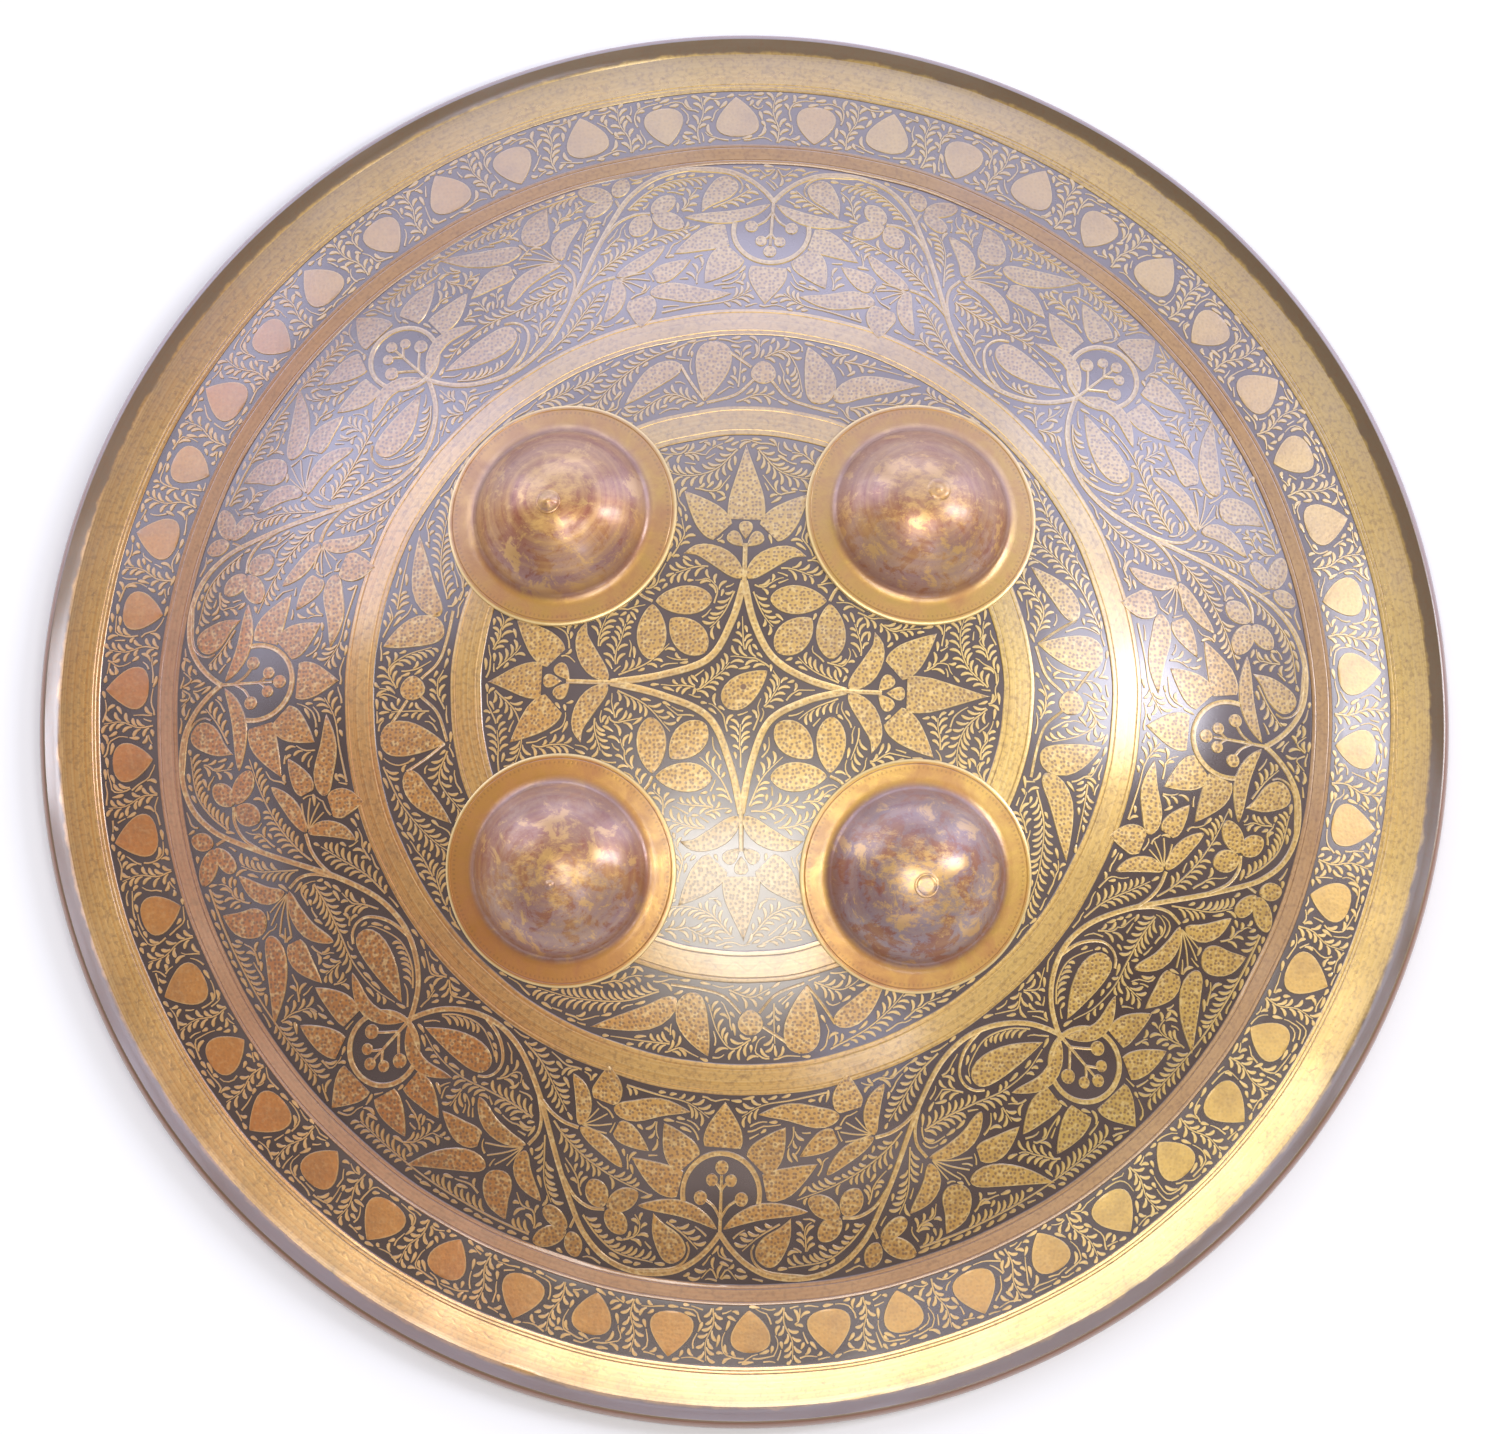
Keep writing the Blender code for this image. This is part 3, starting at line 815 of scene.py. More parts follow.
    # Fans of stamens in the two half flowers, as a root and its tips
    fans = (((48.7, 137.8), ((38.6, 141.6), (40.6, 144.2), (43.6, 145.4), (46.6, 144.2))),
            ((62.6, 126.0), ((66.0, 120.6), (69.2, 121.2), (71.4, 123.4), (70.6, 126.2))))
    for root, tips in fans:
        for tip in tips:
            middle = (0.5 * (root[0] + tip[0]), 0.5 * (root[1] + tip[1]) + 0.3)
            path = curve(place([root, middle, tip]), 8)
            draw.stems.add(path, np.full(8, 0.22), STROKE_SECTION)
            draw.ground.take(path, 0.2, 0.4)


def half_sprigs(draw, outward, inward):
    """Long feathered sprigs that follow the vine, the rings and the leaves."""
    place = half_zone(outward, inward)
    routes = [
        [(61.1, 158.4), (46.7, 158.2), (31.6, 158.0), (19.2, 157.6), (7.6, 157.2)],
        [(47.7, 129.7), (40.5, 128.9), (31.6, 129.3), (22.7, 130.4), (13.7, 129.9), (6.5, 127.9)],
        [(48.6, 124.6), (57.7, 130.1), (66.6, 134.0), (76.2, 136.9), (86.5, 139.2)],
        [(52.0, 129.6), (55.0, 137.0), (57.6, 143.5), (61.8, 149.0)],
        [(34.3, 112.9), (42.6, 115.3), (50.8, 120.2), (56.6, 124.2)],
        [(70.2, 148.6), (75.4, 152.9), (81.3, 155.9), (90.2, 156.6)],
        [(90.6, 144.6), (96.9, 148.0), (101.9, 152.4)],
        [(72.8, 112.4), (84.5, 112.9), (94.5, 113.7), (103.0, 117.6)],
        [(0.6, 112.8), (4.6, 115.2), (7.6, 114.2), (11.6, 112.6)],
        [(4.9, 122.3), (11.0, 117.9), (19.3, 116.4), (27.3, 119.9), (29.0, 122.5)],
        [(25.3, 129.9), (25.2, 133.0), (24.9, 138.5)],
        [(85.0, 118.8), (85.8, 123.0), (89.2, 127.0)],
        [(71.0, 159.0), (66.0, 158.9), (60.0, 159.2)],
        [(106.4, 159.0), (104.8, 156.6), (102.6, 159.2)],
    ]
    for route in routes:
        draw.sprig(place(route))


def engrave_arabesque(face, sizes):
    """The wide zone of flowers and vines between the outer two rings."""
    draw = Engraver(face, sizes, face.middle_outer, face.dome, 11)
    halves = []
    for outward in OUTWARD_FLOWERS:
        for inward in INWARD_FLOWERS:
            apart = (inward - outward + 180.0) % 360.0 - 180.0
            if abs(apart) < 60.0:
                halves.append((outward, outward + apart))
    for axis in OUTWARD_FLOWERS:
        outward_flower(draw, axis)
    for axis in INWARD_FLOWERS:
        inward_flower(draw, axis)
    for outward, inward in halves:
        half_garden(draw, outward, inward)
    for outward, inward in halves:
        half_sprigs(draw, outward, inward)
    draw.fill()
    return draw


def engrave_border(face, sizes):
    """Pear-shaped leaves that point out and in by turns, with sprigs between."""
    draw = Engraver(face, sizes, face.border, face.band, 23)
    draw.pitch, draw.comma_half = 1.15 * draw.pitch, 1.15 * draw.comma_half
    middle = 0.5 * (face.border + face.band)
    pitch = 360.0 / sizes.border_leaves
    for number in range(sizes.border_leaves):
        axis = BORDER_START - number * pitch + draw.random.uniform(-0.25, 0.25)
        place = upright(axis, 1.0, middle)
        if number % 2:
            path = [(0.0, 179.2), (0.0, 174.0), (draw.random.uniform(-0.5, 0.5), 167.5)]
            draw.leaf(place(path), 5.6, 0.42, 0.72)
        else:
            path = [(0.0, 168.8), (0.0, 174.0), (draw.random.uniform(-0.5, 0.5), 181.4)]
            draw.leaf(place(path), 6.1, 0.42, 0.8)
    for number in range(sizes.border_leaves):
        axis = BORDER_START - (number + 0.5) * pitch
        hand = -1.0 if number % 2 else 1.0
        place = upright(axis, hand, middle)
        draw.sprig(place([(-0.6, 167.2), (-0.9, 171.5), (1.0, 176.5), (0.7, 181.6)]), 3.6)
        draw.sprig(place([(1.2, 181.9), (4.4, 180.9), (7.4, 181.4)]), 3.0)
        draw.sprig(place([(-0.6, 167.6), (-3.4, 168.6), (-6.0, 167.6)]), 3.0)
    draw.fill()
    return draw


def band_garden(draw, axis):
    """A small berry with two leaves to each side, at a quarter of the band."""
    about = 92.0
    left = upright(axis, 1.0, about)
    right = upright(axis, -1.0, about)
    draw.berry(left((0.0, 91.4))[0], 3.5)
    draw.leaf(right([(16.4, 84.3), (16.4, 91.0), (10.9, 100.8)]), 4.4, 0.5, 0.75)
    draw.leaf(right([(21.6, 86.8), (28.0, 93.4), (41.6, 101.2)]), 3.3, 0.5, 0.9)
    draw.leaf(left([(12.8, 101.0), (14.0, 94.0), (17.6, 83.2)]), 5.0, 0.42, 0.8)
    draw.leaf(left([(22.6, 95.0), (30.0, 93.4), (41.0, 88.0)]), 3.2, 0.5, 0.8)
    draw.vine(right([(2.6, 89.0), (7.6, 84.6), (14.6, 83.2), (24.0, 83.4)]), 0.45, 24)
    draw.vine(left([(3.4, 92.8), (8.0, 96.4), (12.4, 100.8)]), 0.45, 14)
    draw.vine(left([(17.6, 83.4), (20.6, 89.0), (22.8, 95.2)]), 0.45, 14)
    draw.vine(left([(2.6, 89.0), (8.0, 84.4), (17.0, 82.6)]), 0.45, 18)
    draw.sprig(left([(7.4, 84.6), (6.6, 91.0), (6.2, 97.5)]))
    draw.sprig(right([(0.0, 96.0), (5.0, 98.5), (9.0, 94.0), (12.0, 87.0)]))
    draw.sprig(left([(20.0, 101.4), (32.0, 98.6), (45.0, 93.5), (56.0, 86.0)]))
    draw.sprig(right([(21.0, 99.0), (27.0, 99.8), (36.0, 101.4)]))
    draw.sprig(right([(27.0, 86.0), (36.0, 91.4), (48.0, 96.0), (58.0, 99.0)]))
    draw.sprig(left([(20.0, 83.0), (28.0, 87.0), (40.0, 84.0)]))


def engrave_band(face, sizes, seats):
    """The narrow zone between the inner two rings, partly under the bosses."""
    draw = Engraver(face, sizes, face.inner_outer, face.middle, 37)
    for seat in seats:
        draw.ground.take_disc(seat, SEAT_COVER)
    for axis in BAND_FLOWERS:
        band_garden(draw, axis)
    draw.fill()
    return draw


# Centre flowers: direction, distance of the crossing, the eye and the tip
CENTRE_FLOWERS = ((88.4, 30.0, 42.4, 69.9), (177.2, 36.0, 50.0, 70.4),
                  (270.0, 34.8, 46.8, 69.8), (-1.8, 28.8, 40.4, 68.8))


def centre_flower(draw, axis, crossing, eye, tip):
    """A flower of five petals about a dark eye with three berries."""
    out, side = compass(axis)

    def at(along, across):
        return out * along + side * across

    draw.vine([at(crossing - 1.0, 0.0), at(0.5 * (crossing + eye), 0.0), at(eye - 1.6, 0.0)],
              0.7, 10)
    for lean, first, size in ((0.0, -0.4, 5.2), (0.84, -2.6, 5.8), (-0.84, -2.6, 5.8)):
        start = at(eye + first, 0.35 * lean)
        end = start + at(math.cos(lean), math.sin(lean)) * size
        draw.leaf([start, 0.5 * (start + end), end], 2.0, 1.1, 0.45, count=12)
    draw.ground.take_disc(at(eye, 0.0), 6.0)
    draw.leaf([at(eye + 5.3, 0.0), at(eye + 12.0, 0.0), at(tip, 0.6)], 5.2, 0.36, 1.05, 0.12)
    for hand in (1.0, -1.0):
        draw.leaf([at(eye + 1.6, 6.4 * hand), at(eye + 6.0, 10.6 * hand),
                   at(eye + 13.2, 17.4 * hand)], 4.5, 0.4, 0.85, 0.08)
        draw.leaf([at(crossing + 0.9, 0.6 * hand), at(crossing + 6.0, 6.0 * hand),
                   at(crossing + 8.6, 12.4 * hand), at(crossing + 7.6, 17.0 * hand)],
                  2.9, 0.6, 0.8)


def engrave_centre(face, sizes, seats):
    """Four flowers tied by curved stems round a seed leaf, and four trefoils."""
    draw = Engraver(face, sizes, 0.0, face.inner, 53)
    for seat in seats:
        draw.ground.take_disc(seat, SEAT_COVER)
    for flower in CENTRE_FLOWERS:
        centre_flower(draw, *flower)
    crossings = [polar(crossing, axis) for axis, crossing, _, _ in CENTRE_FLOWERS]
    for start, end in zip(crossings, crossings[1:] + crossings[:1]):
        waist = (start + end) / np.linalg.norm(start + end) * 12.2
        draw.vine([start, 0.52 * start + 0.35 * waist, waist, 0.52 * end + 0.35 * waist, end],
                  1.05, 50)
    draw.leaf([(-4.4, -5.3), (0.0, -0.9), (7.2, 4.7)], 4.3, 0.5, 0.7)
    for corner in (45.0, 135.0, 225.0, 315.0):
        out, side = compass(corner)
        joint = out * 34.6
        lobes = [(out * 20.6, 4.6), (out * 28.4 + side * 6.6, 4.1), (out * 28.4 - side * 6.6, 4.1)]
        for middle, half in lobes:
            away = middle - joint
            away /= np.linalg.norm(away)
            base = joint + 0.8 * away
            tip = middle + away * (6.6 if half > 4.3 else 7.4)
            draw.leaf([base if half < 4.3 else middle - 7.0 * away, middle, tip],
                      half, 0.75, 0.45)
        draw.vine([joint, out * 38.0 + side * 1.0, out * 42.0 + side * 0.4], 0.5, 8)
    for axis, crossing, eye, tip in CENTRE_FLOWERS:
        out, side = compass(axis)
        for hand in (1.0, -1.0):
            draw.sprig([out * 68.0 + side * 3.0 * hand, out * 62.0 + side * 9.0 * hand,
                        out * 60.0 + side * 17.0 * hand, out * 62.0 + side * 25.0 * hand])
            draw.sprig([out * (crossing - 2.0) + side * 2.2 * hand,
                        out * (crossing - 10.0) + side * 6.0 * hand,
                        out * (crossing - 17.0) + side * 13.0 * hand])
            draw.sprig([out * (crossing + 3.0) + side * 5.0 * hand,
                        out * (crossing + 4.0) + side * 12.0 * hand,
                        out * (crossing + 2.0) + side * 19.0 * hand])
    draw.fill()
    return draw


class BossSeat:
    """Where a boss sits: on the dome, with its axis along the dome's normal."""

    def __init__(self, face, boss, angle):
        reach = boss.radius / MM
        radius = face.middle - reach
        for _ in range(8):
            slope = float(face.slope(np.array(radius)))
            radius = face.middle - boss.gap / MM - reach / math.hypot(1.0, slope)
        self.face = face
        self.plan = polar(radius, angle)
        out = np.append(self.plan / radius, 0.0)
        normal = out * slope + np.array([0.0, 0.0, 1.0])
        self.normal = normal / np.linalg.norm(normal)
        self.across = np.cross([0.0, 0.0, 1.0], out)
        self.downhill = np.cross(self.across, self.normal)
        self.origin = np.append(self.plan, float(face.bare_height(radius)))

    def put(self, local):
        """Local points in the world, sunk to follow the dome below them."""
        flat = self.origin + local[..., :1] * self.downhill + local[..., 1:2] * self.across
        sunk = np.zeros(local.shape[:-1])
        for _ in range(10):
            point = flat + sunk[..., None] * self.normal
            sunk += self.face.bare_height(np.hypot(point[..., 0], point[..., 1])) - point[..., 2]
        return (flat + (local[..., 2] + sunk)[..., None] * self.normal) * MM

    def shifted(self, offset):
        """A place right of and above the middle, in the boss's own plan."""
        moved = np.array([offset[0], offset[1], 0.0])
        return np.array([moved @ self.downhill, moved @ self.across])


def turned(outline, facets, middle=(0.0, 0.0)):
    """An outline of radius and height carried about an axis, as rings of points."""
    outline = np.asarray(outline, float)
    around = np.linspace(0.0, 2 * np.pi, facets, endpoint=False)
    radius, height = outline[:, 0], outline[:, 1]
    x = middle[0] + radius[:, None] * np.cos(around)
    y = middle[1] + radius[:, None] * np.sin(around)
    z = np.broadcast_to(height[:, None], x.shape)
    return np.stack([x, y, z], axis=-1)


def softened(outline):
    """An outline with each inner point moved half way to its neighbours' mean."""
    inner = 0.25 * outline[:-2] + 0.5 * outline[1:-1] + 0.25 * outline[2:]
    return np.concatenate([outline[:1], inner, outline[-1:]])


def boss_outline(boss):
    """Cap, soft foot, flange with a turned groove, edge, and hollow below."""
    reach, cap = boss.radius / MM, boss.cap_radius / MM
    rise, top = boss.cap_height / MM, (boss.gap + boss.flange) / MM
    sphere = (cap ** 2 + rise ** 2) / (2.0 * rise)
    centre = top + rise - sphere
    foot = math.asin((cap - 0.5) / sphere)
    turn = np.linspace(0.004, foot, 46)
    crown = np.stack([sphere * np.sin(turn), centre + sphere * np.cos(turn)], axis=-1)
    fillet = boss.fillet / MM
    flat = [(cap + fillet * share, top + 0.55 * (1.0 - share) ** 2)
            for share in np.linspace(0.12, 1.0, 6)]
    flat += [(radius, top) for radius in np.linspace(cap + fillet + 0.5, reach - 1.9, 6)]
    flat += [(reach - 1.55, top), (reach - 1.35, top - 0.16), (reach - 1.15, top - 0.02),
             (reach - 0.45, top), (reach - 0.12, top - 0.14), (reach, top - 0.42),
             (reach - 0.05, 0.1), (reach - 0.4, -0.05)]
    hollow = sphere - boss.sheet / MM
    mouth = math.acos(-centre / hollow)
    turn = np.linspace(mouth, 0.004, 12)
    under = np.stack([hollow * np.sin(turn), centre + hollow * np.cos(turn)], axis=-1)
    return np.concatenate([softened(crown), np.array(flat), under])


def head_outline(kind, radius):
    """Outline of a rivet's head from its middle to below the boss's skin."""
    shapes = {
        "button": ((0.05, 2.5), (0.22, 2.35), (0.4, 2.0), (0.62, 1.55), (0.8, 1.15), (0.86, 0.8),
                   (0.92, 0.78), (1.0, 0.6), (1.02, 0.2), (0.98, -0.9)),
        "worn": ((0.05, 0.75), (0.2, 0.7), (0.32, 0.46), (0.5, 0.5), (0.72, 0.4), (0.92, 0.12),
                 (1.0, -0.15), (0.98, -0.9)),
        "nub": ((0.03, 0.95), (0.12, 0.9), (0.24, 0.7), (0.36, 0.4), (0.44, 0.1), (0.5, -0.9)),
        "disc": ((0.05, 0.34), (0.5, 0.33), (0.72, 0.32), (0.8, 0.2), (0.86, 0.32), (0.97, 0.3),
                 (1.03, 0.15), (1.05, -0.9)),
    }
    return [(share * radius, height) for share, height in shapes[kind]]


def bowl_outline(face):
    """The whole section of the bowl, with a mark for lacquered ground.

    Rows are radius, height above the brass, mark. It runs from the middle
    of the face out over the bands, then down round the rolled rim.
    """
    rows = []

    def ground(start, end, step):
        count = max(2, int((end - start) / step))
        for radius in np.linspace(start, end, count + 1)[1:]:
            rows.append((radius, -face.cut, 1.0))

    def band(start, end, grooves, step=1.5):
        rows.extend([(start + 0.12, -face.cut * 0.5, 0.5), (start + 0.3, -0.03, 0.0),
                     (start + 0.6, 0.0, 0.0)])
        cuts = [value for groove in grooves for value in
                ((groove - 0.22, 0.0), (groove, -0.13), (groove + 0.22, 0.0))]
        plain = [(radius, 0.0) for radius in np.arange(start + 1.2, end - 0.8, step)
                 if all(abs(radius - groove) > 0.5 for groove in grooves)]
        rows.extend((radius, lift, 0.0) for radius, lift in sorted(cuts + plain))
        rows.extend([(end - 0.6, 0.0, 0.0), (end - 0.3, -0.03, 0.0),
                     (end - 0.12, -face.cut * 0.5, 0.5)])

    rows.append((0.05, -face.cut, 1.0))
    ground(0.05, face.inner, 3.0)
    band(face.inner, face.inner_outer, (face.inner + 1.5, face.inner_outer - 1.4))
    rows.append((face.inner_outer, -face.cut, 1.0))
    ground(face.inner_outer, face.middle, 2.4)
    band(face.middle, face.middle_outer, (face.middle + 1.4, face.middle_outer - 1.3))
    rows.append((face.middle_outer, -face.cut, 1.0))
    ground(face.middle_outer, face.dome, 2.0)
    band(face.dome, face.border, (face.dome + 1.2, face.border - 1.1))
    rows.append((face.border, -face.cut, 1.0))
    ground(face.border, face.band, 1.8)
    band(face.band, face.roll + 1.0, (face.band + 1.2, face.band + 2.1), 1.0)
    return np.array([row for row in rows if row[0] < face.roll - 0.05])


def make_bowl(face, sizes):
    """The bowl: its face over the plan, then the rim and back as a section."""
    around = np.linspace(0.0, 360.0, sizes.facets, endpoint=False)
    rows = bowl_outline(face)
    turn = np.radians(around)
    wander = 0.16 * (np.sin(5 * turn + 1.0) + 0.7 * np.sin(9 * turn + 2.2)
                     + 0.5 * np.sin(17 * turn) + 0.35 * np.sin(31 * turn + 0.7))
    near = np.clip(rows[:, 0] / face.inner, 0.0, 1.0)
    radius = rows[:, :1] + near[:, None] * wander[None, :]
    plan = np.stack([radius * np.cos(turn), radius * np.sin(turn)], axis=-1)
    front = face.lay(plan, np.broadcast_to(rows[:, 1:2], radius.shape))
    rim = []
    half = face.roll_height / 2.0
    roll_steps = 19
    for step in np.linspace(90.0, -90.0, roll_steps):
        angle = math.radians(step)
        rim.append((face.roll + face.roll_width * math.cos(angle), half + half * math.sin(angle)))
    rim += [(face.roll - face.rest_width + 0.2, 0.0), (face.roll - face.rest_width, 0.2),
            (face.roll - face.rest_width, face.sheet - 0.2),
            (face.roll - face.rest_width + 0.2, face.sheet)]
    for step in np.linspace(-90.0, 90.0, 9):
        angle = math.radians(step)
        rim.append((face.roll + (face.roll_width - face.sheet) * math.cos(angle),
                    half + (half - face.sheet) * math.sin(angle)))
    for back in np.linspace(face.roll - 2.6, 0.05, 46):
        slope = float(face.slope(np.array(back)))
        scale = face.sheet / math.hypot(1.0, slope)
        rim.append((max(0.05, back - scale * slope), float(face.height(back)) - scale))
    rim = np.array(rim)
    lower = np.stack([rim[:, :1] * np.cos(turn), rim[:, :1] * np.sin(turn),
                      rim[:, 1:] * np.ones_like(turn)], axis=-1) * MM
    verts = np.concatenate([front, lower]).reshape(-1, 3)
    rings = len(front) + len(lower)
    lacquer = np.concatenate([np.repeat(rows[:, 2], sizes.facets),
                              np.zeros(len(lower) * sizes.facets)])
    inside, brown = np.zeros(rings), np.zeros(rings)
    inside[len(front) + roll_steps:] = 1.0
    brown[len(front) + 2:len(front) + roll_steps] = 1.0
    marks = {"lacquer": lacquer, "back": np.repeat(inside, sizes.facets),
             "rim": np.repeat(brown, sizes.facets)}
    return mesh_object("dhal_bowl", verts, tube_faces(1, rings, sizes.facets), marks,
                       math.radians(22.0))


def add(tree, kind, inputs, out=0, **settings):
    """Adds a shader node with its settings, values and links. Gives one output."""
    made = tree.nodes.new(kind)
    for key, value in settings.items():
        setattr(made, key, value)
    wire(tree, made, inputs)
    return made.outputs[out]


def wire(tree, node, inputs):
    """Links or sets a node's inputs."""
    for key, value in inputs.items():
        if isinstance(value, bpy.types.NodeSocket):
            tree.links.new(value, node.inputs[key])
        else:
            node.inputs[key].default_value = value


def new_material(name, **values):
    """A material of one Principled shader, with its tree and that shader."""
    made = bpy.data.materials.new(name)
    made.use_nodes = True
    tree = made.node_tree
    shader = tree.nodes["Principled BSDF"]
    wire(tree, shader, {key.replace("_", " "): value for key, value in values.items()})
    return made, tree, shader


def brass_tone(tree, finish, place):
    """Yellow brass with coppery clouds 60 mm wide, more of them at left."""
    cloud = add(tree, "ShaderNodeTexNoise", {"Vector": place, "Scale": 16.0, "Detail": 4.0})
    cloud = add(tree, "ShaderNodeMapRange", {0: cloud, 1: 0.38, 2: 0.68})
    # The share also grows towards the lower left, so that side is darker and more coppery
    axes = add(tree, "ShaderNodeSeparateXYZ", {0: place}).node
    slant = add(tree, "ShaderNodeMath", {0: axes.outputs[1], 1: 0.5, 2: axes.outputs[0]},
                operation="MULTIPLY_ADD")
    corner = add(tree, "ShaderNodeMapRange", {0: slant, 1: 0.03, 2: -0.16, 4: 0.85})
    share = add(tree, "ShaderNodeMath", {0: cloud, 1: 0.3, 2: corner},
                operation="MULTIPLY_ADD", use_clamp=True)
    return add(tree, "ShaderNodeMix", {0: share, 6: finish.brass[:], 7: finish.copper[:]},
               out=2, data_type="RGBA")


def painted_haze_share(tree, place):
    """Share of the painted haze: thick on slopes that face up the picture.

    The haze is a painted reflection of daylight. It is the surface normal's
    share towards the shield's top, plus the height up the shield in metres,
    broken by blotches 45 mm wide.
    """
    normal = add(tree, "ShaderNodeNewGeometry", {}, out=1)
    raised = add(tree, "ShaderNodeVectorMath", {0: normal, 1: place}, operation="ADD")
    facing = add(tree, "ShaderNodeVectorMath", {0: raised, 1: (0.1, 0.99, 0.0)},
                 out=1, operation="DOT_PRODUCT")
    blotch = add(tree, "ShaderNodeTexNoise", {"Vector": place, "Scale": 22.0, "Detail": 4.0})
    facing = add(tree, "ShaderNodeMath", {0: blotch, 1: 0.35, 2: facing},
                 operation="MULTIPLY_ADD")
    return add(tree, "ShaderNodeMapRange", {0: facing, 1: 0.08, 2: 0.65, 4: 0.47},
               interpolation_type="SMOOTHSTEP")


def pale_wear_and_highlight(tree, place):
    """Share of pale wear and painted highlight, which fades with distance from the place hands
    rub.
    """
    blotch = add(tree, "ShaderNodeTexNoise", {"Vector": place, "Scale": 30.0, "Detail": 4.0})
    away = add(tree, "ShaderNodeVectorMath", {0: place, 1: WEAR_AND_HIGHLIGHT_PLACE}, out=1,
               operation="DISTANCE")
    away = add(tree, "ShaderNodeMath", {0: blotch, 1: -0.03, 2: away},
               operation="MULTIPLY_ADD")
    return add(tree, "ShaderNodeMapRange", {0: away, 1: 0.026, 2: -0.006, 4: 0.5},
               interpolation_type="SMOOTHSTEP")


def scroll_lines(tree, place, rings):
    """Share of fine wavy lines, one along each ring of a radius and wavelength.

    A line is full within 0.15 mm of the ring's own radius, swung by a sine of
    the angle, and gone at 0.5 mm. That is twice its true width, because one
    so fine wouldn't show.
    """
    axes = add(tree, "ShaderNodeSeparateXYZ", {0: place}).node
    angle = add(tree, "ShaderNodeMath", {0: axes.outputs[1], 1: axes.outputs[0]},
                operation="ARCTAN2")
    flat = add(tree, "ShaderNodeVectorMath", {0: place, 1: (1.0, 1.0, 0.0)},
               operation="MULTIPLY")
    radius = add(tree, "ShaderNodeVectorMath", {0: flat}, out=1, operation="LENGTH")
    total = 0.0
    for middle, wavelength, swing in rings:
        waves = round(2 * math.pi * middle / wavelength)
        turned_by = add(tree, "ShaderNodeMath", {0: angle, 1: float(waves)},
                        operation="MULTIPLY")
        wave = add(tree, "ShaderNodeMath", {0: turned_by}, operation="SINE")
        line = add(tree, "ShaderNodeMath", {0: wave, 1: swing * MM, 2: middle * MM},
                   operation="MULTIPLY_ADD")
        away = add(tree, "ShaderNodeMath", {0: radius, 1: line}, operation="SUBTRACT")
        away = add(tree, "ShaderNodeMath", {0: away}, operation="ABSOLUTE")
        near = add(tree, "ShaderNodeMapRange", {0: away, 1: 0.5 * MM, 2: 0.15 * MM})
        total = add(tree, "ShaderNodeMath", {0: total, 1: near}, operation="MAXIMUM")
    return total


def engraved_brass(finish, name, stipple):
    """Raised engraved brass, aged and lacquered, with matted or plain tops.

    Lacquered brass is a yellow metal under a clear skin, so it has a soft
    metal sheen and a second, whiter one. Matting is punched about 0.9 mm
    apart and reads as dark pits between bright grains. It is drawn at 1.2 mm,
    a third coarser than true, so that it shows at arm's length.
    """
    made, tree, shader = new_material(name, Metallic=0.4, Coat_Weight=1.0, Coat_Roughness=0.3,
                                      Coat_IOR=1.7)
    place = add(tree, "ShaderNodeTexCoord", {}, out=3)
    tone = brass_tone(tree, finish, place)
    stain = add(tree, "ShaderNodeTexNoise", {"Vector": place, "Scale": 90.0, "Detail": 7.0,
                                             "Roughness": 0.65})
    stain = add(tree, "ShaderNodeMapRange", {0: stain, 1: 0.45, 2: 0.72, 4: 0.42})
    grain = add(tree, "ShaderNodeTexNoise", {"Vector": place, "Scale": 700.0, "Detail": 2.0})
    pits = add(tree, "ShaderNodeTexVoronoi", {"Vector": place, "Scale": 820.0,
                                              "Randomness": 0.7}, voronoi_dimensions="2D")
    pit = add(tree, "ShaderNodeMapRange", {0: pits, 1: 0.4, 2: 0.2, 4: stipple})
    # Painted glints: bright grains between the pits of the matting
    lit = add(tree, "ShaderNodeMapRange", {0: grain, 1: 0.5, 2: 0.66, 4: 0.45 * stipple})
    edge = add(tree, "ShaderNodeAttribute", {}, out=2, attribute_name="edge")
    bright = add(tree, "ShaderNodeMath", {0: edge, 1: 0.25, 2: lit},
                 operation="MULTIPLY_ADD", use_clamp=True)
    inside = add(tree, "ShaderNodeMath", {0: 1.0, 1: edge}, operation="SUBTRACT")
    pit = add(tree, "ShaderNodeMath", {0: pit, 1: inside}, operation="MULTIPLY")
    dot = add(tree, "ShaderNodeVectorMath", {0: place, 1: (1.0, 1.0, 0.0)},
              operation="MULTIPLY")
    dot = add(tree, "ShaderNodeVectorMath", {0: dot, 1: SEED_DOT}, out=1,
              operation="DISTANCE")
    dot = add(tree, "ShaderNodeMapRange", {0: dot, 1: 1.0 * MM, 2: 0.7 * MM})
    pit = add(tree, "ShaderNodeMath", {0: pit, 1: dot}, operation="MAXIMUM")
    # The pale patch is partly rubbed wear and partly a painted highlight; the haze is a painted
    # reflection of daylight
    worn = pale_wear_and_highlight(tree, place)
    painted_haze = painted_haze_share(tree, place)
    coats = ((stain, finish.pit[:]), (bright, finish.bright[:]), (pit, finish.pit[:]),
             (worn, finish.worn[:]), (painted_haze, finish.painted_haze[:]))
    for share, coat in coats:
        tone = add(tree, "ShaderNodeMix", {0: share, 6: tone, 7: coat},
                   out=2, data_type="RGBA")
    height = add(tree, "ShaderNodeMath", {0: pit, 1: -1.0, 2: grain}, operation="MULTIPLY_ADD")
    bump = add(tree, "ShaderNodeBump", {"Strength": 0.5, "Distance": 0.0002, "Height": height})
    rough = add(tree, "ShaderNodeMapRange", {0: grain, 3: 0.36, 4: 0.52})
    wire(tree, shader, {"Base Color": tone, "Roughness": rough, "Normal": bump})
    return made


